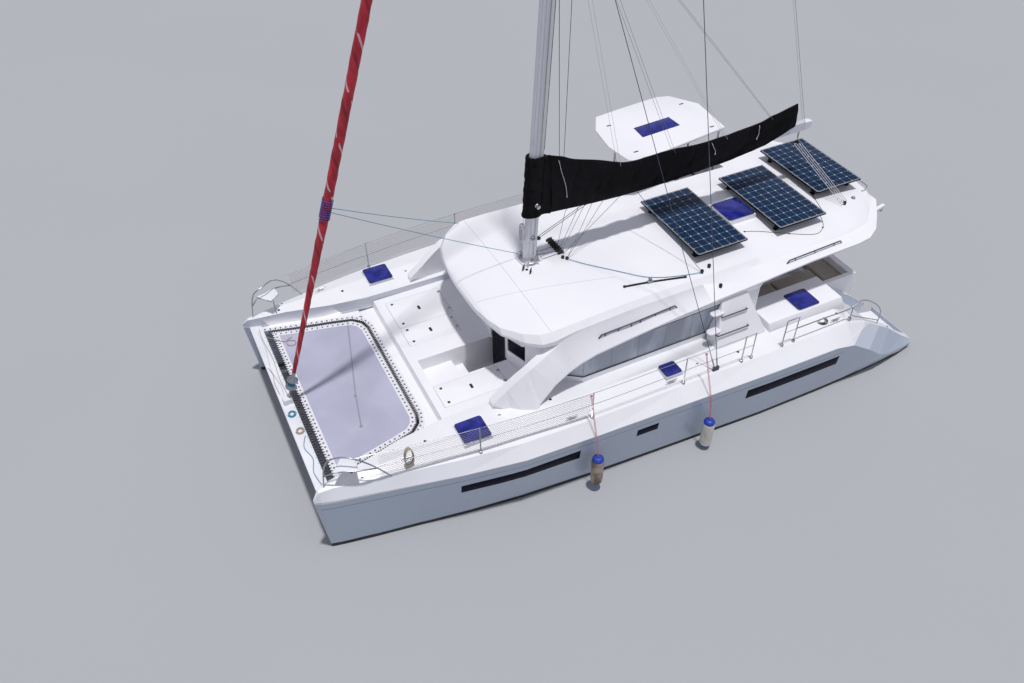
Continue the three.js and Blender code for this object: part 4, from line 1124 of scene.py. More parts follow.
# Solar panels
# Dark blue cells with silver gaps under glass, in grey anodised frames, each on four black feet
# screwed down to the roof.
def finish_cells(x0, x1, y0, y1):
    mat = Finish("solar_cells")
    border, across, along = 0.03, 6, 11
    u = (mat.x - (x0 + border)) * (across / (x1 - x0 - 2 * border))
    v = (mat.y - (y0 + border)) * (along / (y1 - y0 - 2 * border))
    gap_u, gap_v = u.saw(1.0), v.saw(1.0)
    celled = (u > 0.0) * (u < across) * (v > 0.0) * (v < along)
    dot = (gap_u + gap_v < 0.11) * celled
    line = (gap_u < 0.018).or_more(gap_v < 0.018) * celled
    bus = ((u * 3 + 0.5).saw(1.0) < 0.02) * celled
    up = mat.upward().edge(0.6, 0.9)
    grain = mat.node("ShaderNodeTexVoronoi", values={"Vector": mat.place, "Scale": 45.0}, out=1)
    tone = mat.mix(mat.cloud(2.0, 3.0), (0.002, 0.014, 0.042), (0.003, 0.026, 0.075))
    tone = mat.mix(0.012, tone, grain)
    tone = mat.mix(bus * 0.25, tone, (0.30, 0.32, 0.36))
    tone = mat.mix(line * 0.8, tone, (0.24, 0.32, 0.44))
    tone = mat.mix(dot, tone, (0.46, 0.55, 0.66))
    tone = mat.mix(up * celled, (0.012, 0.012, 0.014), tone)
    dust = mat.cloud(7.0, 5.0).edge(0.5, 0.85)
    tone = mat.mix(dust * 0.05, tone, (0.30, 0.30, 0.28))
    return mat.done(tone, 0.24 + 0.25 * dust, Specular_IOR_Level=0.08)


bar, foot_half, screw_off = 0.024, 0.055, 0.04
for number in (1, 2, 3):
    node = f"solar_panel_{number}"
    low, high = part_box(node)
    dress(node, "boat", "panel", finish_cells(low.x, high.x, low.y, high.y), 40, 0.003)
    x0, y0, x1, y1, z = low.x, low.y, high.x, high.y, high.z
    rim = Shape()
    for a, b, c, d in ((x0, y0, x1, y0 + bar), (x0, y1 - bar, x1, y1), (x0, y0, x0 + bar, y1),
                       (x1 - bar, y0, x1, y1)):
        rim.block((a, b, z - 0.038), (c, d, z + 0.003), 0.003)
    rim.piece(node + "_frame", "boat", "alloy", grey_anodised)
    mounts = Shape()
    for x, y in ((x, y) for x in (x0 + 0.12, x1 - 0.12) for y in (y0 + 0.25, y1 - 0.25)):
        ground = roof_at(x, y).z
        plate = rounded(x - foot_half, y - foot_half, x + foot_half, y + foot_half, 0.02)
        mounts.slab(plate, ground - 0.012, ground + 0.008, 0.003)
        for off in (-screw_off, screw_off):
            screw_at = (x + off, y + off, ground + 0.006)
            mounts.turned([(0.009, 0), (0.009, 0.006), (0.0, 0.007)], screw_at, sides=6)
    mounts.piece(node + "_mounts", "boat", "alloy", gasket)


# Crossbeam
# A white painted box beam between the bows with a raised fitting for the stay and steel eyes along
# its aft edge; spare lines lie along it, two of them in flat coils, and one on the net's corner.
def finish_paint():
    mat = Finish("white_paint")
    chips = mat.cloud(18.0, 6.0).edge(0.66, 0.72)
    soft = mat.cloud(1.5, 4.0)
    tone = mat.mix(soft.edge(0.3, 0.7), (0.76, 0.77, 0.81), (0.84, 0.85, 0.88))
    return mat.done(mat.mix(chips * 0.5, tone, (0.42, 0.42, 0.43)), 0.35 + 0.2 * soft,
                    mat.bump(mat.cloud(120.0) - chips, 0.001, 0.3))


def rope(name, path, diameter, finish, body="boat"):
    """A line along a path of points."""
    path = [Vector(p) for p in path]
    made = Shape().tube(path, diameter / 2, 7).piece(name, body, "net", finish, smooth=60)
    length = sum((b - a).length for a, b in zip(path, path[1:]))
    return made


def straight(a, b, sag=0.0, count=16):
    """Points from a to b, hanging sag metres at the middle."""
    a, b = Vector(a), Vector(b)
    return [raised(a.lerp(b, k / count), -4 * sag * (k / count) * (1 - k / count)) for k in range(count + 1)]


def corners(points, radius, count=5):
    """A path through points with its corners rounded."""
    points = [Vector(p) for p in points]
    made = [points[0]]
    for a, p, b in zip(points, points[1:], points[2:]):
        one, two = (a - p).normalized(), (b - p).normalized()
        half = one.angle(two) / 2
        back = min(radius / math.tan(half), 0.48 * (a - p).length, 0.48 * (b - p).length)
        first, last = p + one * back, p + two * back
        for k in range(count + 1):
            t = k / count
            made.append(first * (1 - t) ** 2 + p * 2 * t * (1 - t) + last * t * t)
    return made + [points[-1]]


def filled(path, step=0.12):
    """The same path with points no further apart than step."""
    made = [path[0]]
    for a, b in zip(path, path[1:]):
        count = max(1, math.ceil((b - a).length / step))
        made += [a.lerp(b, k / count) for k in range(1, count + 1)]
    return made


def turns_of(at, across, along, wide, tall, turns, thick, seed, flat=False):
    """Points of a made-up line: loops round a point, each a little off the last, or a flat coil."""
    at, across, along = Vector(at), Vector(across).normalized(), Vector(along).normalized()
    out = across.cross(along).normalized()
    chance = random.Random(seed)
    off = [(chance.uniform(-0.5, 0.5), chance.uniform(-0.05, 0.05)) for _ in range(int(turns) + 3)]
    made = []
    for k in range(int(turns * 16) + 1):
        turn, share = divmod(k, 16)
        share /= 16
        shift, size = (a + (b - a) * share for a, b in zip(off[turn], off[turn + 1]))
        t = 2 * math.pi * share
        inwards = 1.15 * thick * k / 16 if flat else 0.0
        lift = 0.12 * shift if flat else (k / 16) / max(1, turns - 1) * min(turns, 4) - 2 + 0.25 * shift
        made.append(at + across * (wide * (1 + size) - inwards) * math.cos(t)
                    + along * (tall * (1 + size) - inwards) * math.sin(t) + out * thick * lift)
    return made


white_paint = finish_paint()
beige_line = finish_rope("beige_line", (0.52, 0.46, 0.34), (0.34, 0.29, 0.20), 0.04)
teal_line = finish_rope("teal_line", (0.03, 0.20, 0.30), (0.06, 0.32, 0.42), 0.03)
white_line = finish_rope("white_line", (0.72, 0.72, 0.72), (0.50, 0.50, 0.54), 0.04)
beam = Shape().block((6.451, -2.559, 1.291), (6.699, 2.559, 1.370), 0.014)
beam.block((6.461, -0.089, 1.30), (6.639, 0.089, 1.499), 0.010)
beam.turned([(0.045, 0.0), (0.045, 0.03), (0.030, 0.045)], (6.55, 0.0, 1.37), (0, 0, 1), 20)
beam.piece("beam", "boat", "alloy", white_paint, "crossbeam", smooth=30)
beam_eye = Shape().tube(arc((0, 0, 0), (0.013, 0, 0), (0, 0, 0.013), 8, 0, 180), 0.003, 6)
repeat([(6.472, -2.05, 1.371), (6.472, 2.05, 1.371)], beam_eye, 0.14, "beam_eyes", "steel", polished_steel)
coil_z = 1.379
rope("beam_coil", turns_of((6.57, 0.36, coil_z), (1, 0, 0), (0, 1, 0), 0.085, 0.095, 3, 0.014, 3, flat=True),
     0.014, teal_line)
rope("beam_coil_beige",
     turns_of((6.55, 0.85, coil_z), (1, 0, 0), (0, 1, 0), 0.085, 0.09, 3, 0.014, 5, flat=True),
     0.014, beige_line)
blue_red_line = finish_rope("blue_red_line", (0.02, 0.03, 0.18), (0.35, 0.02, 0.04), 0.05)
for name, diameter, finish, points in (
        ("beam_line_white", 0.012, white_line,
         [(6.60, 0.10, 1.378), (6.56, -0.5, 1.378), (6.62, -1.0, 1.378), (6.56, -1.7, 1.378),
          (6.58, -2.30, 1.378)]),
        ("beam_line_beige", 0.012, beige_line,
         [(6.50, -0.10, 1.378), (6.53, -0.7, 1.378), (6.50, -1.3, 1.378), (6.54, -1.95, 1.378),
          (6.53, -2.35, 1.380)]),
        ("beam_line_teal", 0.014, teal_line,
         [(6.50, 1.02, 1.378), (6.60, 1.30, 1.378), (6.53, 1.62, 1.378), (6.61, 1.95, 1.378),
          (6.56, 2.30, 1.378)]),
        ("beam_line_dark", 0.008, blue_red_line,
         [(6.64, -0.25, 1.376), (6.66, -0.6, 1.376), (6.62, -0.85, 1.376), (6.66, -1.1, 1.376)])):
    rope(name, smooth_line(points, 6), diameter, finish)
net_rope = [(6.44, -2.02, 1.385), (6.30, -1.92, 1.345), (6.16, -1.80, 1.335), (6.02, -1.78, 1.332),
            (5.92, -1.70, 1.33), (5.98, -1.60, 1.33), (6.10, -1.66, 1.332), (6.08, -1.80, 1.345),
            (5.96, -1.86, 1.34)]
rope("net_rope", smooth_line(net_rope, 7), 0.014, beige_line)


# Deck gear
# Cast aluminium cleats on the side decks, steel eyes and black filler caps; a beige line made up
# by the port bow cleat, a dark hose coiled by the aft one.
def cleat(shape, at, way, size=0.26):
    """Two horns on two feet."""
    at, way = Vector(at), Vector(way).normalized()
    horns = [raised(at + way * size * t, 0.050 + 0.03 * abs(t))
             for t in (-0.5, -0.35, -0.15, 0, 0.15, 0.35, 0.5)]
    shape.tube(horns, [0.006, 0.012, 0.015, 0.016, 0.015, 0.012, 0.006], 10)
    for t in (-0.15, 0.15):
        foot = at + way * size * t
        shape.tube([raised(foot, lift) for lift in (-0.01, 0.012, 0.05)], [0.026, 0.018, 0.012], 12)


def hank(name, turns, fall, diameter, finish):
    """A made-up line whose two ends run on by fall."""
    first, last = turns[0], turns[-1]
    path = [first + fall, first + fall * 0.5] + turns + [last + fall * 0.5, last + fall]
    rope(name, path, diameter, finish)


gear = Shape()
for sign in (1, -1):
    for x, y, slant in ((5.02, 2.66, 0.16), (-0.31, 3.14, 0.0), (-4.42, 3.16, 0.0), (1.9, 3.10, 0.03)):
        cleat(gear, deck_at(x, sign * y), (1, -sign * slant, 0))
gear.piece("deck_cleats", "boat", "alloy", grey_anodised)
eyes = Shape()
for x, y in ((-5.99, 3.30), (5.9, 2.66), (3.1, 2.45), (-1.05, 2.95)):
    for sign in (1, -1):
        foot = deck_at(x, sign * y)
        eyes.turned([(0.026, -0.004), (0.026, 0.005), (0.018, 0.009)], foot, sides=16)
        eyes.tube(arc(raised(foot, 0.006), (0.016, 0, 0), (0, 0, 0.024), 10, 0, 180), 0.004, 7)
eyes.piece("deck_eyes", "boat", "steel", polished_steel)
caps = Shape()
for x, y in ((6.02, 2.47), (4.6, 2.42), (2.05, 2.52), (-2.0, 3.02), (-4.6, 3.0)):
    for sign in (1, -1):
        foot = deck_at(x, sign * y)
        caps.turned([(0.030, -0.004), (0.030, 0.003), (0.022, 0.0045), (0.0, 0.005)], foot, sides=18)
caps.piece("deck_fillers", "boat", "steel", gasket)
coil = turns_of(deck_at(5.04, 2.80, 0.25), (1.0, 0.1, 0), (0, 0, 1), 0.085, 0.235, 7.5, 0.016, 11)
hank("bow_line", coil, Vector((0, 0, -0.25)), 0.014, beige_line)
hose_at = deck_at(-4.42, 3.16) + Vector((0.25, -0.12, 0.016))
rope("hose", turns_of(hose_at, (1, 0, 0), (0, 1, 0), 0.13, 0.12, 3, 0.02, 8, flat=True), 0.018,
     finish_rope("dark_hose", (0.02, 0.02, 0.025), (0.03, 0.03, 0.035), 0.2))


# Lifeline netting
# Knotted cord netting in diamonds, tied between the deck edge and the upper wire, along the
# forward part of both sides.
netting_line = finish_rope("netting_cord", (0.42, 0.40, 0.37), (0.30, 0.28, 0.26), 0.02)
netting_foot, tall, mesh_size = 1.705, 0.54, 0.065
netting_ways = {1: [(5.62, 2.822), (3.77, 3.06), (1.56, 3.223)],
                -1: [(5.62, 2.822), (3.77, 3.06), (1.535, 3.225), (-0.5, 3.245)]}


def along_rail(way, spans, s):
    """The point s metres along a way of straight spans."""
    for (a, b), span in zip(zip(way, way[1:]), spans):
        if s <= span or b is way[-1]:
            return a.lerp(b, min(1.0, s / span))
        s -= span


for sign, side in both_sides:
    way = [Vector((x, sign * y, 0)) for x, y in netting_ways[sign]]
    spans = [(b - a).length for a, b in zip(way, way[1:])]
    total = sum(spans)
    cords = []
    for k in range(int((total + tall) / mesh_size)):
        for slope in (1, -1):
            run = []
            for j in range(13):
                height = tall * j / 12
                s = k * mesh_size - (height if slope > 0 else tall - height)
                if 0 <= s <= total:
                    z = netting_foot + height + 0.012 * math.sin(5 * s)
                    run.append(raised(along_rail(way, spans, s), z))
            if len(run) > 1:
                cords.append(run)
    tree = Run(side + "_netting_run", Radius=0.0023)
    ring = tree.node("GeometryNodeCurvePrimitiveCircle", {"mode": "RADIUS"},
                     {"Resolution": 3, "Radius": tree.size["Radius"]})
    skin = tree.node("GeometryNodeCurveToMesh", values={"Curve": tree.start, "Profile Curve": ring})
    tree.made_on(path_object(*cords), skin, side + "_netting", "boat", "net", netting_line)


# Pulpit seats
# White moulded seat boards set on the pulpits at the bows, with rounded edges and three small
# plugs in each.
for sign, side in both_sides:
    outline = [(6.375, sign * 2.642), (6.17, sign * 2.73), (5.965, sign * 2.782), (5.945, sign * 2.66),
               (5.935, sign * 2.545), (6.04, sign * 2.45), (6.14, sign * 2.376), (6.26, sign * 2.50)]
    board = Shape().slab(outline if sign > 0 else outline[::-1], 1.984, 2.020, 0.010)
    for x, y in ((6.10, 2.50), (6.20, 2.60), (6.02, 2.62)):
        plug_at = (x, sign * y, 2.0195)
        board.turned([(0.011, 0.0), (0.011, 0.0015), (0.007, 0.002), (0.0, 0.002)], plug_at, sides=12)
    board.piece(side + "_pulpit_seat", "boat", "gelcoat", white_paint)


# Lines and fittings at the mast's heel
# Braided polyester lines between blocks at the heel, the boom and a bank of clutches, halyards
# beside the mast with a tail made up on it, and a steel winch on the collar.
def block_at(shape, at, axis, size, strop=None):
    """A small sheave between round cheeks, on its strop."""
    at, axis = Vector(at), Vector(axis).normalized()
    groove = 0.70 * size
    shape.turned([(0.3 * size, -0.017), (size, -0.015), (size, -0.009), (0.82 * size, -0.007), (groove, 0.0),
                  (0.82 * size, 0.007), (size, 0.009), (size, 0.015), (0.3 * size, 0.017)], at, axis, 18)
    if strop:
        shape.tube([at, at.lerp(Vector(strop), 0.5), strop], [0.010, 0.007, 0.006])


def crossing(name, path, diameter, finish):
    """A line between the boat and the boom, attached to neither."""
    made = rope(name, path, diameter, finish, body=None)
    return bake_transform(made)


def by_heel(turn):
    """x and y of a place on the ring of blocks round the heel, at a turn in degrees."""
    return 1.225 + 0.245 * math.cos(math.radians(turn)), 0.22 * math.sin(math.radians(turn))


dark_line = finish_rope("dark_line", (0.05, 0.055, 0.07), (0.13, 0.14, 0.17), 0.03)
grey_line = finish_rope("grey_line", (0.30, 0.31, 0.33), (0.14, 0.15, 0.17), 0.03)
heel_blocks = Shape()
for turn in (60, 115, 150, 195, 230, 300):
    foot = Vector((*by_heel(turn), 3.085))
    axis = (math.sin(math.radians(turn)), -math.cos(math.radians(turn)), 0)
    block_at(heel_blocks, raised(foot, 0.045), axis, 0.030, raised(foot, -0.01))
heel_blocks.piece("heel_blocks", "boat", "steel", grey_anodised)
clutches = Shape()
for k in range(7):
    y = -0.40 + 0.085 * k
    ground = roof_at(0.555, y).z
    clutches.block((0.49, y - 0.020, ground - 0.004), (0.63, y + 0.020, ground + 0.050), 0.008)
    clutches.tube([(0.62, y, ground + 0.046), (0.56, y, ground + 0.072), (0.485, y, ground + 0.070)],
                  [0.010, 0.009, 0.006])
clutches.piece("clutches", "boat", "canvas", gasket)
organiser = Shape()
for x, y in ((0.54, 0.34), (0.60, 0.27)):
    block_at(organiser, roof_at(x, y, 0.04), (0.7, 0.7, 0), 0.036, roof_at(x, y, -0.01))
organiser.turned([(0.03, -0.004), (0.03, 0.006), (0.02, 0.010)], roof_at(1.41, 0.25), sides=14)
cleat(organiser, roof_at(1.46, 0.20), (1, 1.2, 0), 0.17)
cleat(organiser, roof_at(1.38, 0.36), (1, 1.2, 0), 0.15)
organiser.piece("deck_organisers", "boat", "steel", gasket)
for k, (turn, y) in enumerate(((150, 0.10), (195, 0.015), (230, -0.155))):
    path = straight(roof_at(*by_heel(turn), 0.02), roof_at(0.63, y, 0.022), 0.008)
    rope(f"heel_line_{k + 1}", path, 0.010, (dark_line, grey_line)[k % 2])
reef_z = 4.06
for k, (near, far, first, last) in enumerate((((0.555, -0.06), (0.555, 0.025), 0.49, 0.19),
                                              ((0.555, 0.10), (0.540, 0.34), 0.06, -0.12),
                                              ((0.540, 0.34), (0.555, 0.19), -0.38, -0.81))):
    a, b = roof_at(*near, 0.028), roof_at(*far, 0.028)
    loop = corners([a, (first, 0.11, reef_z), (first - 0.05, 0.10, reef_z + 0.04),
                    (last + 0.05, 0.10, reef_z + 0.04), (last, 0.11, reef_z), b], 0.03)
    crossing(f"reef_line_{k + 1}", filled(loop), 0.009, (dark_line, grey_line, dark_line)[k])
vang_block = Shape()
block_at(vang_block, on_mast(3.50, -0.19), (0, 1, 0), 0.040, on_mast(3.50, -0.14))
vang_block.piece("vang_block", "boat", "steel", gasket)
low, high, off = on_mast(3.52, -0.163), Vector((-0.45, 0, 4.19)), Vector((0, 0.026, 0))
vang_path = corners([low - off, high - off, high + off, low + off + Vector((0.02, 0, -0.01))], 0.026)
crossing("vang", filled(vang_path), 0.012, dark_line)
for k, (forward, port) in enumerate(((0.07, 0.108), (-0.03, 0.112), (0.07, -0.108), (-0.03, -0.112))):
    path = straight(on_mast(3.20, forward, port), on_mast(19.4, forward * 0.6, port * 0.72))
    rope(f"halyard_{k + 1}", path, 0.012, (white_line, beige_line, grey_line, white_line)[k])
coil = turns_of(on_mast(3.76, 0.20, -0.02), (0, 1, 0), (0, 0, -1), 0.075, 0.20, 4.5, 0.014, 21)
hank("halyard_tail", coil, Vector((-0.045, 0, 0.26)), 0.012, white_line)
drum_profile = [(0.046, 0.0), (0.046, 0.010), (0.032, 0.025), (0.028, 0.045), (0.032, 0.062), (0.042, 0.072),
                (0.042, 0.082), (0.018, 0.088)]
winch = Shape().turned(drum_profile, on_mast(4.42, 0.0, 0.155), (0, 1, 0), 24)
winch.piece("halyard_winch", "boat", "steel", polished_steel)


# Sheets and lines over the roof
# A black track with its car to port, deck blocks, a teal and a blue line led to them, and two teal
# lines from the headsail's lashing; the mainsheet, a four-part white tackle; and the topping lifts,
# the lazy jacks and the sail bag's ties.
track_path = [roof_at(x, y) for x, y in ((-0.08, 1.565), (-0.35, 1.61), (-0.61, 1.66), (-0.97, 1.745),
                                         (-1.33, 1.835))]
track_profile = ((-0.017, -0.004), (-0.017, 0.010), (-0.011, 0.014), (-0.015, 0.020), (-0.012, 0.026),
                 (0.012, 0.026), (0.015, 0.020), (0.011, 0.014), (0.017, 0.010), (0.017, -0.004))
rings = []
for k, p in enumerate(track_path):
    way = (track_path[min(k + 1, 4)] - track_path[max(k - 1, 0)]).normalized()
    across = way.cross(Vector((0, 0, 1))).normalized()
    rings.append([raised(p + across * u, w) for u, w in track_profile])
sheet_track = Shape().skin(rings)
for p in (track_path[0], track_path[-1]):
    sheet_track.block((p.x - 0.025, p.y - 0.024, p.z - 0.004), (p.x + 0.025, p.y + 0.024, p.z + 0.034), 0.008)
sheet_track.piece("sheet_track", "boat", "alloy", gasket)
x, y, z = track_path[2]
car = Shape().block((x - 0.065, y - 0.030, z + 0.012), (x + 0.065, y + 0.030, z + 0.046), 0.012)
block_at(car, (x, y - 0.01, z + 0.085), (0.9, 0.3, 0), 0.038, (x, y, z + 0.04))
car.piece("sheet_car", "boat", "steel", polished_steel)
roof_blocks = Shape()
for x, y in ((-1.71, 1.86), (-1.94, 1.78), (-1.92, 2.24), (-5.93, 1.27)):
    block_at(roof_blocks, roof_at(x, y, 0.048), (0.5, 0.8, 0), 0.036, roof_at(x, y, -0.01))
    roof_blocks.turned([(0.034, -0.004), (0.034, 0.006), (0.024, 0.010)], roof_at(x, y), sides=16)
roof_blocks.piece("roof_blocks", "boat", "steel", gasket)
on_roof = [(0.54, 0.34), (0.30, 0.62), (0.07, 0.86), (-0.28, 1.20), (-0.56, 1.46), (-0.86, 1.63),
           (-1.25, 1.76), (-1.70, 1.87)]
path = [roof_at(x, y, 0.014 if 0 < k < 7 else 0.028) for k, (x, y) in enumerate(on_roof)]
rope("car_line", smooth_line(path, 4), 0.012, teal_line)
a, b = roof_at(-1.71, 1.86, 0.029), Vector((-1.15, 0.12, 4.06))
blue_line = finish_rope("blue_line", (0.05, 0.13, 0.26), (0.12, 0.22, 0.36), 0.03)
crossing("preventer", straight(a, b, 0.01), 0.012, blue_line)
rope("jib_tack_line", straight((5.125, 0.075, 5.46), (1.40, -0.18, 3.13), 0.03), 0.012, teal_line)
rope("jib_lift_line", straight((5.12, -0.075, 5.46), roof_at(1.95, -1.95, 0.02), 0.03), 0.012, teal_line)
main_top, main_foot = Vector((-5.38, 0, 4.02)), roof_at(-5.93, 1.27, 0.028)
strop = Shape()
strop.tube([(-5.36, -0.02, 4.31), (-5.37, -0.008, 4.15), main_top, (-5.37, 0.008, 4.15), (-5.36, 0.02, 4.31)],
           0.006, 7)
block_at(strop, raised(main_top, -0.03), (0.6, 0.5, 0), 0.045)
strop.piece("mainsheet_block", "boom", "steel", gasket)
tackle = []
for k in range(4):
    off = Vector((0.066, 0.026, 0)) * (1.5 - k)
    ends = [main_foot + off, raised(main_top, -0.03) + off]
    tackle += ends if k % 2 == 0 else ends[::-1]
crossing("mainsheet", filled(corners(tackle, 0.035)), 0.015, white_line)
for k, y in enumerate((0.035, -0.035)):
    a, b = Vector((0.16, y * 0.8, 20.2)), Vector((-5.43, y, 4.50))
    crossing(f"topping_lift_{k + 1}", straight(a, b, 0.05, 30), 0.008, (grey_line, white_line)[k])
for sign, side in both_sides:
    for k, (first, last) in enumerate(((-0.75, -3.35), (-2.05, -4.5))):
        ends = [Vector((x, sign * bag_at(x)[3] * 0.9, bag_at(x)[1] - 0.06)) for x in (first, last)]
        high = on_mast(10.4, -0.11, sign * 0.085)
        path = filled(corners([ends[0], high, ends[1]], 0.06, 9), 0.3)
        middle = high.lerp((ends[0] + ends[1]) / 2, 0.88)
        crossing(f"{side}_jack_{k + 1}", path, 0.006, (white_line, grey_line)[k])
ties = Shape()
for x, sign, drop, drift in ((0.66, 1, 0.78, -0.16), (-1.85, -1, 0.30, 0.05), (-2.95, 1, 0.20, -0.05),
                             (-4.15, 1, 0.24, 0.08)):
    low, high, bottom, top = bag_at(x)
    run = [Vector((x, sign * top * 0.85, high - 0.05))]
    for k in range(1, 9):
        t = k / 8
        z = high - 0.05 - drop * t
        share = (z - low) / (high - low)
        y = sign * (top + (bottom - top) * min(1, (1 - share) / 0.6) + 0.020)
        run.append(Vector((x + drift * t + 0.012 * math.sin(7 * t), y, z)))
    ties.tube(run, 0.0055, 6)
    ties.tube([run[-1], raised(run[-1], -0.03)], [0.011, 0.008], 7)
ties.piece("bag_ties", "boom", "canvas", white_line)


# Boom end and masthead
# A cast white end with two sheaves on the boom, and at the masthead a white lamp housing and a
# thin bar on a post.
boom_z = 4.40
rings = []
for x, w, h in ((-5.452, 0.066, 0.085), (-5.50, 0.074, 0.092), (-5.60, 0.070, 0.082), (-5.645, 0.055, 0.060)):
    lower = [(-w, -h), (-w * 0.7, -h - 0.012), (w * 0.7, -h - 0.012), (w, -h)]
    rings.append([(x, y, boom_z + z) for y, z in lower] + [(x, y, boom_z - z) for y, z in reversed(lower)])
boom_end = Shape().skin(rings)
for y in (-0.036, 0.036):
    block_at(boom_end, (-5.57, y, boom_z + 0.02), (0, 1, 0), 0.050)
boom_end.piece("boom_end", "boom", "alloy", white_paint, smooth=30)
head = on_mast(20.35)
lamp = [(0.030, 0.0), (0.030, 0.03), (0.045, 0.04), (0.045, 0.11), (0.030, 0.13), (0.0, 0.132)]
masthead = Shape().turned(lamp, head + Vector((0.05, 0.0, 0.03)), sides=18)
masthead.tube([head + Vector((-0.08, 0.03, lift)) for lift in (0, 0.20)], 0.004, 6)
masthead.tube([head + Vector((x, 0.03, 0.19)) for x in (-0.20, 0.02)], [0.004, 0.006], 6)
masthead.piece("masthead_gear", "boat", "alloy", white_paint)


# Headsail lashing and furling line
# Purple and blue line wound nine times round the furled sail to hold it shut, and the teal
# furling line wound on its drum.
def wound_on(z0, z1, radius, turns):
    """Points of a line wound round the stay between two heights."""
    count = turns * 16
    return [on_stay(up_stay(z0 + (z1 - z0) * k / count), radius, 2 * math.pi * k / 16)
            for k in range(count + 1)]


lash_line = finish_rope("lashing_line", (0.14, 0.03, 0.22), (0.04, 0.10, 0.42), 0.06)

rope("sail_lashing", wound_on(5.28, 5.66, 0.093, 9), 0.016, lash_line)
rope("furling_line", wound_on(1.785, 1.875, 0.068, 8), 0.010, teal_line)


# Cables and loop on the roof
# Black cables from the panels led along the roof between glands, and a steel loop and a vent at
# its aft edge.
black_cable = finish_rope("black_cable", (0.012, 0.012, 0.014), (0.02, 0.02, 0.022), 0.2)
for name, finish, on_roof in (
        ("panel_cable", black_cable, [(-3.29, 1.16), (-3.59, 1.29), (-4.12, 1.61), (-4.61, 1.85),
                                      (-4.92, 1.74), (-5.11, 1.46), (-5.24, 1.10)]),
        ("panel_cable_aft", black_line, [(-5.29, 1.33), (-5.41, 0.95), (-5.50, 0.72)])):
    rope(name, smooth_line([roof_at(x, y, 0.006) for x, y in on_roof], 6), 0.010, finish)
loop_path = [roof_at(-6.70, 0.53, -0.006), roof_at(-6.72, 0.53, 0.03), roof_at(-6.80, 0.53, 0.045)]
loop_path += [Vector((x, y, loop_path[-1].z)) for x, y in ((-6.89, 0.56), (-6.90, 0.70), (-6.90, 0.86),
                                                           (-6.86, 0.97))]
loop_path += [roof_at(-6.74, 0.99, 0.03), roof_at(-6.70, 0.99, -0.006)]
roof_loop = Shape().tube(smooth_line(loop_path, 5), 0.011, 10)
roof_loop.turned([(0.05, -0.006), (0.05, 0.010), (0.035, 0.035), (0.02, 0.045), (0.0, 0.047)],
                 roof_at(-6.30, 1.15))
roof_loop.piece("roof_loop", "boat", "steel", polished_steel)
glands = Shape()
for x, y in ((-3.29, 1.16), (-5.24, 1.10), (-5.29, 1.33), (-5.50, 0.72), (-4.12, 1.61), (-4.92, 1.74)):
    glands.turned([(0.020, -0.004), (0.020, 0.010), (0.012, 0.016), (0.0, 0.017)], roof_at(x, y), sides=12)
glands.piece("cable_glands", "boat", "canvas", gasket)


# Hardtop and helm
# A moulded white hardtop with a violet acrylic window and four small vents; under it a console
# with instruments, engine levers and winches, and a steel wheel with a stitched leather grip.
pane = [(-2.53, -1.78), (-3.57, -1.86), (-3.55, -2.28), (-2.56, -2.21)]
Shape().slab(pane, 3.946, 3.957, 0.004).piece("hardtop_window", "boat", "glass", violet_acrylic)
vents = Shape()
for x, y in ((-2.12, -2.57), (-4.17, -2.68), (-4.18, -1.47), (-2.06, -1.32)):
    vents.slab(rounded(x - 0.06, y - 0.018, x + 0.06, y + 0.018, 0.014), 3.944, 3.955, 0.003)
vents.tube([(x, y, 3.952) for x, y in pane + pane[:1]], 0.006, 6)
vents.piece("hardtop_vents", "boat", "canvas", gasket)


def finish_leather(name, low, high):
    mat = Finish(name)
    grain = mat.node("ShaderNodeTexVoronoi", values={"Vector": mat.place, "Scale": 420.0})
    worn = mat.cloud(9.0, 4.0).edge(0.35, 0.8)
    soil = mat.cloud(2.4, 5.0).edge(0.5, 0.85)
    tone = mat.mix(worn, low, high)
    return mat.done(mat.mix(soil * 0.18, tone, (0.24, 0.21, 0.17)), 0.45 + 0.2 * worn,
                    mat.bump(grain + worn * 2, 0.0015, 0.4))


black_leather = finish_leather("black_leather", (0.02, 0.02, 0.022), (0.05, 0.05, 0.052))
hub, wheel_radius = Vector((-3.25, -1.85, 2.75)), 0.33
level, upright = Vector((0, 1, 0)), Vector((0, 0, 1))
wheel = Shape()
wheel.skin([[p + 0.0135 * (math.cos(a) * (p - hub).normalized() + math.sin(a) * Vector((1, 0, 0)))
             for a in (2 * math.pi * j / 10 for j in range(10))]
            for p in arc(hub, level * wheel_radius, upright * wheel_radius, 72)], caps=False)
for turn in (90, 210, 330):
    way = level * math.cos(math.radians(turn)) + upright * math.sin(math.radians(turn))
    spoke = [hub + way * 0.02, hub + way * 0.12 + Vector((0.004, 0, 0)), hub + way * 0.325]
    wheel.tube(spoke, [0.013, 0.009, 0.007], 10)
boss = [(0.038, -0.029), (0.040, -0.02), (0.040, 0.028), (0.019, 0.03), (0.019, 0.128)]
wheel.turned(boss, hub, (1, 0, 0), 24)
wheel.piece("wheel_steel", "steering_wheel", "steel", polished_steel, "steering_wheel")
grip = Shape()
stitched = [0.0145] + [0.0165 + 0.0007 * (k % 2) for k in range(25)] + [0.0145]
for first, last in ((35, 145), (155, 265), (275, 385)):
    grip.tube(arc(hub, level * wheel_radius, upright * wheel_radius, 26, first, last), stitched, 10)
grip.piece("wheel_grip", "steering_wheel", "steel", black_leather)

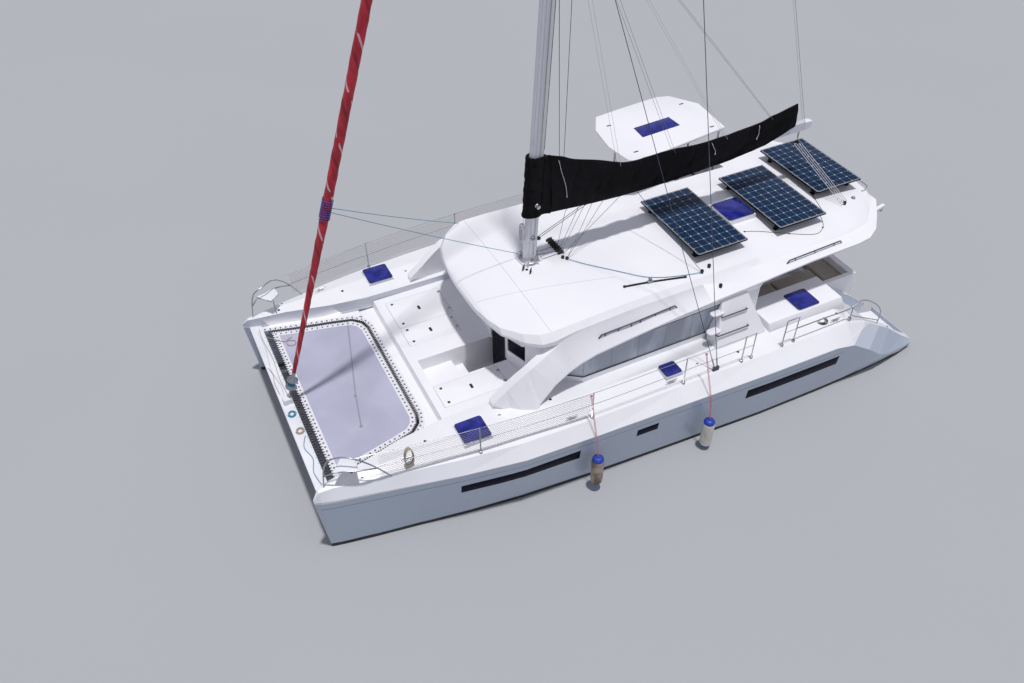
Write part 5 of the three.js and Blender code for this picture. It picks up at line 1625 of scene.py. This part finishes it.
console = Shape()
top_z = 3.0
for y0, y1, x0, x1 in ((-2.10, -1.62, -3.07, -2.90), (-1.55, -1.36, -3.05, -2.92)):
    console.block((x0, y0, top_z - 0.006), (x1, y1, top_z + 0.020), 0.010)
for y0, y1, z0, z1 in ((-2.36, -2.12, 2.62, 2.86), (-1.58, -1.36, 2.62, 2.84)):
    console.block((-3.128, y0, z0), (-3.112, y1, z1), 0.006)
console.piece("console_housings", "boat", "canvas", gasket)
screens = Shape()
for y0, y1 in ((-2.08, -1.87), (-1.85, -1.64)):
    screens.block((-3.055, y0, top_z + 0.018), (-2.915, y1, top_z + 0.0235))
screens.block((-3.131, -2.34, 2.65), (-3.125, -2.14, 2.83), 0.003)
compass = [(0.05, 0.0), (0.05, 0.022), (0.042, 0.040), (0.02, 0.052), (0.0, 0.054)]
screens.turned(compass, (-2.985, -1.455, top_z + 0.018), sides=24)
screens.piece("console_screens", "boat", "glass", dark_acrylic)
controls = Shape()
for y in (-1.47 - 0.022, -1.47 + 0.022):
    controls.tube([(-3.128, y, 2.73), (-3.165, y, 2.75), (-3.18, y, 2.80), (-3.185, y, 2.87)],
                  [0.010, 0.008, 0.007, 0.007])
    controls.turned([(0.004, -0.018), (0.014, -0.010), (0.016, 0.0), (0.014, 0.010), (0.004, 0.018)],
                    (-3.186, y, 2.885), sides=14)
for foot, r in ((Vector((-2.98, -2.28, top_z)), 0.075), (roof_at(-2.26, -1.93), 0.07)):
    controls.turned([(r, -0.004), (r, 0.02), (0.72 * r, 0.05), (0.62 * r, 0.10), (0.72 * r, 0.14),
                     (0.92 * r, 0.16), (0.92 * r, 0.178), (0.35 * r, 0.185), (0.30 * r, 0.17), (0.0, 0.17)],
                    foot, sides=28)
controls.piece("helm_controls", "boat", "steel", polished_steel)


# Seats
# Foam cushions in stitched vinyl and woven cloth, crowned and drawn in between their corners,
# with piping round the upper and lower edge, on moulded white seat boxes.
def cushion(name, low, high, finish, piping, channels=0, upright=False):
    """A crowned cushion filling low to high; its cloth is let swell under pressure."""
    low, high = Vector(low), Vector(high)
    size, middle = high - low, (low + high) / 2
    flat = 0 if upright else 2
    across = [i for i in range(3) if i != flat]
    count = [max(8, round(size[i] / 0.035)) for i in across]
    points, index, faces = [], {}, []

    def point(u, v, w):
        key = (round(u, 4), round(v, 4), round(w, 4))
        if key not in index:
            pinch = 0.010 * (1 - u * u) * (abs(v) ** 8) + 0.010 * (1 - v * v) * (abs(u) ** 8)
            crown = (1 - abs(u) ** 4) * (1 - abs(v) ** 4)
            sew = sum(math.exp(-((u - (2 * (k + 1) / (channels + 1) - 1)) * size[across[0]] / 0.02) ** 2)
                      for k in range(channels))
            full = w * (0.80 + 0.20 * crown - 0.14 * sew)
            p = middle.copy()
            p[across[0]] += u * (size[across[0]] / 2 - 0.006 - pinch * (1 if abs(u) > 0.9 else 0))
            p[across[1]] += v * (size[across[1]] / 2 - 0.006 - pinch * (1 if abs(v) > 0.9 else 0))
            p[flat] += full * size[flat] / 2
            index[key] = len(points)
            points.append(p)
        return index[key]
    for w in (-1, 1):
        for i in range(count[0]):
            for j in range(count[1]):
                quad = [(2 * (i + a) / count[0] - 1, 2 * (j + b) / count[1] - 1, w)
                        for a, b in ((0, 0), (1, 0), (1, 1), (0, 1))]
                faces.append([point(*q) for q in (quad if w > 0 else quad[::-1])])
    levels = [-1, -0.5, 0, 0.5, 1]
    for w0, w1 in zip(levels, levels[1:]):
        for i in range(count[0]):
            for v in (-1, 1):
                a, b = 2 * i / count[0] - 1, 2 * (i + 1) / count[0] - 1
                faces.append([point(a, v, w0), point(b, v, w0), point(b, v, w1), point(a, v, w1)])
        for j in range(count[1]):
            for u in (-1, 1):
                a, b = 2 * j / count[1] - 1, 2 * (j + 1) / count[1] - 1
                faces.append([point(u, a, w0), point(u, b, w0), point(u, b, w1), point(u, a, w1)])
    mesh = bpy.data.meshes.new(name)
    mesh.from_pydata(points, [], faces)
    face_out(mesh)
    pad = placed(name, mesh)
    swell(pad, low, high)
    pad.data.polygons.foreach_set("use_smooth", [True] * len(pad.data.polygons))
    settle(pad, "boat", "cushion", finish)
    cord_run = Shape()
    ways = [(1, t / 6 - 1) for t in range(12)] + [(1 - t / 6, 1) for t in range(12)]
    ways += [(-u, -v) for u, v in ways]
    for w in (-0.80, 0.80):
        edge = []
        for u, v in ways:
            p = middle.copy()
            p[across[0]] += u * (size[across[0]] / 2 - 0.008)
            p[across[1]] += v * (size[across[1]] / 2 - 0.008)
            p[flat] += w * size[flat] / 2
            edge.append(p)
        cord_run.tube(edge + edge[:1], 0.005, 6)
    cord_run.piece(name + "_piping", "boat", "cushion", piping)


def swell(pad, low, high):
    """Lets the cushion's cloth swell under pressure for a moment, within its own space."""
    before = [v.co.copy() for v in pad.data.vertices]
    cloth = pad.modifiers.new("cloth", "CLOTH")
    cloth.settings.use_pressure, cloth.settings.uniform_pressure_force = True, 4.0
    cloth.settings.effector_weights.gravity = 0.0
    cloth.settings.quality = 6
    for number in range(1, 13):
        bpy.context.scene.frame_set(number)
    pad.data = baked(pad)
    pad.modifiers.clear()
    bpy.context.scene.frame_set(1)
    for vert, start in zip(pad.data.vertices, before):
        shift = vert.co - start
        vert.co = start + shift * min(1.0, 0.014 / max(1e-6, shift.length))
        vert.co = [min(max(c, a + 0.001), b - 0.001) for c, a, b in zip(vert.co, low, high)]


def finish_cloth():
    mat = Finish("woven_cushion_cloth")
    weave = mat.x.saw(0.003) + mat.y.saw(0.003)
    fade = mat.cloud(1.8, 4.0).edge(0.3, 0.8)
    soil = mat.cloud(7.0, 5.0).edge(0.55, 0.85)
    tone = mat.mix(fade, (0.36, 0.31, 0.25), (0.47, 0.42, 0.35))
    return mat.done(mat.mix(soil * 0.25, tone, (0.22, 0.18, 0.14)), 0.85, mat.bump(weave + fade, 0.0015, 0.5),
                    Sheen_Weight=0.2)


white_vinyl = finish_leather("white_vinyl", (0.66, 0.66, 0.66), (0.76, 0.76, 0.75))
beige_cloth = finish_cloth()
boxes = Shape()
boxes.block((-5.95, -1.79, 0.902), (-5.302, 1.79, 1.235), 0.02)
boxes.block((-5.40, 1.252, 0.902), (-3.102, 1.988, 1.235), 0.02)
boxes.piece("seat_boxes", "boat", "gelcoat", roof_gelcoat, "cockpit_seat")
for k, (x0, y0, x1, y1) in enumerate(((-5.94, -1.78, -5.31, -0.61), (-5.94, -0.60, -5.31, 0.60),
                                      (-5.94, 0.61, -5.41, 1.78), (-5.40, 1.26, -4.27, 1.98),
                                      (-4.26, 1.26, -3.11, 1.98))):
    cushion(f"cockpit_cushion_{k + 1}", (x0, y0, 1.24), (x1, y1, 1.35), beige_cloth, beige_cloth)
helm_box = Shape()
helm_box.block((-4.175, -2.29, 1.962), (-3.72, -1.36, 2.38), 0.02)
helm_box.block((-4.255, -2.29, 1.962), (-4.215, -1.36, 2.92), 0.012)
helm_box.piece("helm_seat_box", "boat", "gelcoat", roof_gelcoat, "helm_seat")
cushion("helm_cushion", (-4.16, -2.29, 2.385), (-3.70, -1.36, 2.50), white_vinyl, black_leather, channels=3)
cushion("helm_backrest", (-4.215, -2.28, 2.53), (-4.12, -1.37, 2.94), white_vinyl, black_leather,
        upright=True)


# Table and galley
# A teak table top on a white turned pedestal in the cockpit; inside, the galley and its furniture
# in pale veneer with a white counter and four white fronts.
def finish_wood(name, low, high, along):
    mat = Finish(name)
    stretch = [26.0, 26.0, 26.0]
    stretch[along] = 1.6
    grain = mat.cloud(1.0, 6.0, tuple(stretch))
    plank = 1 - (mat.y if along == 0 else mat.x).saw(0.11).edge(0.01, 0.03)
    tone = mat.mix(grain.edge(0.3, 0.75), low, high)
    tone = mat.mix(plank * 0.7, tone, (0.03, 0.02, 0.015))
    return mat.done(tone, 0.42 + 0.15 * grain, mat.bump(grain - plank, 0.002, 0.4), Coat_Weight=0.3)


teak, veneer = (finish_wood("teak", (0.22, 0.11, 0.045), (0.40, 0.22, 0.10), 0),
                finish_wood("pale_veneer", (0.42, 0.33, 0.23), (0.56, 0.46, 0.34), 0))
table = Shape().slab(rounded(-4.895, 0.255, -3.705, 0.995, 0.10), 1.560, 1.598, 0.010)
table.piece("table_top", "boat", "beige", teak, "cockpit_table")
column = [(0.17, 0.0), (0.17, 0.012), (0.06, 0.04), (0.045, 0.10), (0.045, 0.55), (0.07, 0.62), (0.16, 0.658)]
stand = Shape().turned(column, (-4.30, 0.625, 0.903), sides=28)
stand.piece("table_pedestal", "boat", "beige", white_paint)
dress("saloon_furniture", "boat", "beige", veneer, 30, 0.012)
counter = Shape().block((-0.30, -1.97, 1.672), (1.49, -1.29, 1.70), 0.008)
for k in range(4):
    counter.block((-0.25 + 0.44 * k, -1.292, 0.90), (0.15 + 0.44 * k, -1.280, 1.60), 0.005)
counter.piece("galley_counter", "boat", "beige", white_paint)


# Doors
# Dark panes in black frames: the forward door swings on its side, the aft one slides; each has a
# steel pull bar.
# Columns: body and node, frame's x aft and forward, its port edge, its top, the pull's face and way out
for name, x0, x1, y1, top_z, face, out in (("forward_door", 2.176, 2.224, 0.885, None, 2.224, 1),
                                           ("aft_sliding_door", -2.936, -2.890, 0.768, 2.40, -2.936, -1)):
    low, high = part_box(name)
    y0, z0, z1 = low.y + 0.004, low.z + 0.004, top_z or high.z - 0.004
    edge = Shape()
    for a, b, c, d in ((y0, z0, y1, z0 + 0.05), (y0, z1 - 0.05, y1, z1), (y0, z0, y0 + 0.045, z1),
                       (y1 - 0.045, z0, y1, z1)):
        edge.block((x0, a, b), (x1, c, d))
    edge.piece(name + "_frame", name, "glass", gasket)
    y = y0 + 0.022
    bow = [(0.0, 1.62), (0.03, 1.62), (0.035, 1.64), (0.035, 1.80), (0.03, 1.82), (0.0, 1.82)]
    pull = Shape().tube([(face + out * reach, y, z) for reach, z in bow], 0.008)
    pull.piece(name + "_pull", name, "steel", polished_steel)


# Boarding step treads
# Two moulded white treads on the forward face of the port wing, oval, with a woven non-slip pad
# on top.
treads, pads = Shape(), Shape()
for x, y, z in ((-1.74, 2.47, 2.37), (-1.60, 2.62, 2.05)):
    treads.slab(rounded(x - 0.17, y - 0.085, x + 0.14, y + 0.085, 0.08), z - 0.045, z, 0.014)
    pads.slab(rounded(x - 0.15, y - 0.066, x + 0.12, y + 0.066, 0.06), z - 0.002, z + 0.003, 0.002)
treads.piece("step_treads", "boat", "gelcoat", roof_gelcoat)
pads.piece("step_pads", "boat", "gelcoat", white_webbing)


# Davits
# White arms over the stern, dressed with the coachroof. Each has a steel block at its tip, and its
# fall is led in along the arm and made fast on a cleat at the foot.
falls = Shape()
for sign, side in both_sides:
    tip = Vector((-7.41, sign * 1.10, 2.305))
    block_at(falls, raised(tip, -0.06), (0, 1, 0), 0.040, tip)
    cleat(falls, (-6.02, sign * 1.165, 1.70), (0, 0, 1), 0.14)
    path = smooth_line([tip + Vector((0.03, 0, -0.030)), (-7.0, sign * 1.10, 2.115),
                        (-6.5, sign * 1.10, 1.955), (-6.12, sign * 1.12, 1.87),
                        (-6.02, sign * 1.15, 1.76)], 5)
    rope(side + "_davit_fall", filled(path), 0.010, (black_line, white_line)[sign > 0])
falls.piece("davit_blocks", "boat", "steel", polished_steel)


# Fenders
# Ribbed vinyl tubes with blue moulded ends, the forward one stained brown, each hung on a doubled
# red line from the upper wire.
def finish_vinyl(name, tone, stain, amount):
    mat = Finish(name)
    soil = mat.cloud(7.0, 6.0, (1, 1, 0.6)).edge(0.32, 0.72)
    fine = mat.cloud(60.0, 4.0).edge(0.4, 0.8)
    cover = (soil * amount + fine * amount * 0.25).up_to(1.0)
    return mat.done(mat.mix(cover, tone, stain), 0.42 + 0.3 * soil, mat.bump(soil + fine * 0.3, 0.002, 0.3))


red_line = finish_rope("red_line", (0.62, 0.05, 0.12), (0.75, 0.28, 0.34), 0.03)
blue_vinyl = finish_vinyl("blue_vinyl", (0.015, 0.05, 0.42), (0.03, 0.06, 0.20), 0.5)
fender_long, line_half = 0.818, 0.010
for place, x, y, z, rail_y, tone, amount in (("forward", 1.6, 3.65, 0.15, 3.220, (0.50, 0.43, 0.34), 0.9),
                                             ("aft", -0.94, 3.74, 0.03, 3.248, (0.80, 0.78, 0.70), 0.3)):
    stained_vinyl = finish_vinyl(f"fender_{place}_vinyl", tone, (0.17, 0.11, 0.06), amount)
    ribs = [(0.1185 + 0.0035 * (k % 2), 0.13 + 0.02 * k) for k in range(29)]
    tube = Shape().turned([(0.112, 0.10), (0.118, 0.115)] + ribs + [(0.116, 0.70), (0.108, 0.712)], (x, y, z),
                          sides=32)
    tube.piece(f"fender_{place}_body", "boat", "fender", stained_vinyl, "fender_" + place)
    ends = Shape()
    ends.turned([(0.0, 0.0), (0.030, 0.002), (0.036, 0.02), (0.075, 0.045), (0.105, 0.075), (0.116, 0.103),
                 (0.113, 0.104)], (x, y, z), sides=32)
    ends.turned([(0.112, 0.706), (0.116, 0.712), (0.112, 0.745), (0.092, 0.775), (0.055, 0.792),
                 (0.034, 0.796), (0.032, 0.815), (0.0, fender_long)], (x, y, z), sides=32)
    ends.piece(f"fender_{place}_ends", "boat", "fender", blue_vinyl)
    hang = corners([(x, rail_y + 0.02, 2.262), (x, y - 0.13, 1.43), (x, y - 0.09, 1.33),
                    (x, y, z + fender_long)], 0.06)
    there = [p + Vector((line_half, 0, 0)) for p in filled(hang, 0.08)]
    back = [p - Vector((line_half, 0, 0)) for p in reversed(filled(hang, 0.08))]
    rope(f"fender_line_{place}", there, 0.011, red_line)
    knot = Shape().tube(back, 0.0052, 7)
    knot.tube([hang[0] + Vector((0.02 * math.cos(3 * t), 0.012 + 0.014 * math.sin(3 * t), 0.012 - 0.012 * t))
               for t in (k / 6 for k in range(25))], 0.0055, 6)
    knot.piece(f"fender_knot_{place}", "boat", "fender", red_line)


# Under water
# Bronze sail drives with folding propellers under each hull, and moulded rudders in the same dark
# antifouling as the hulls.
def finish_bronze():
    mat = Finish("bronze")
    patina = mat.cloud(14.0, 5.0).edge(0.4, 0.75)
    brush = mat.cloud(60.0, 3.0, (1, 1, 0.1))
    tone = mat.mix(patina, (0.52, 0.34, 0.16), (0.24, 0.27, 0.19))
    relief = mat.bump(brush + patina, 0.001, 0.3)
    return mat.done(tone, 0.32 + 0.3 * patina, relief, Metallic=0.9 - 0.4 * patina)


bronze = finish_bronze()
for sign, side in both_sides:
    dress(side + "_sail_drive", "boat", "bronze", bronze, 32, 0.004)
    dress(side + "_propeller", side + "_propeller", "bronze", bronze, 32, 0.004)
    dress(side + "_rudder", side + "_rudder", "gelcoat", hull_gelcoat, 32, 0.004)
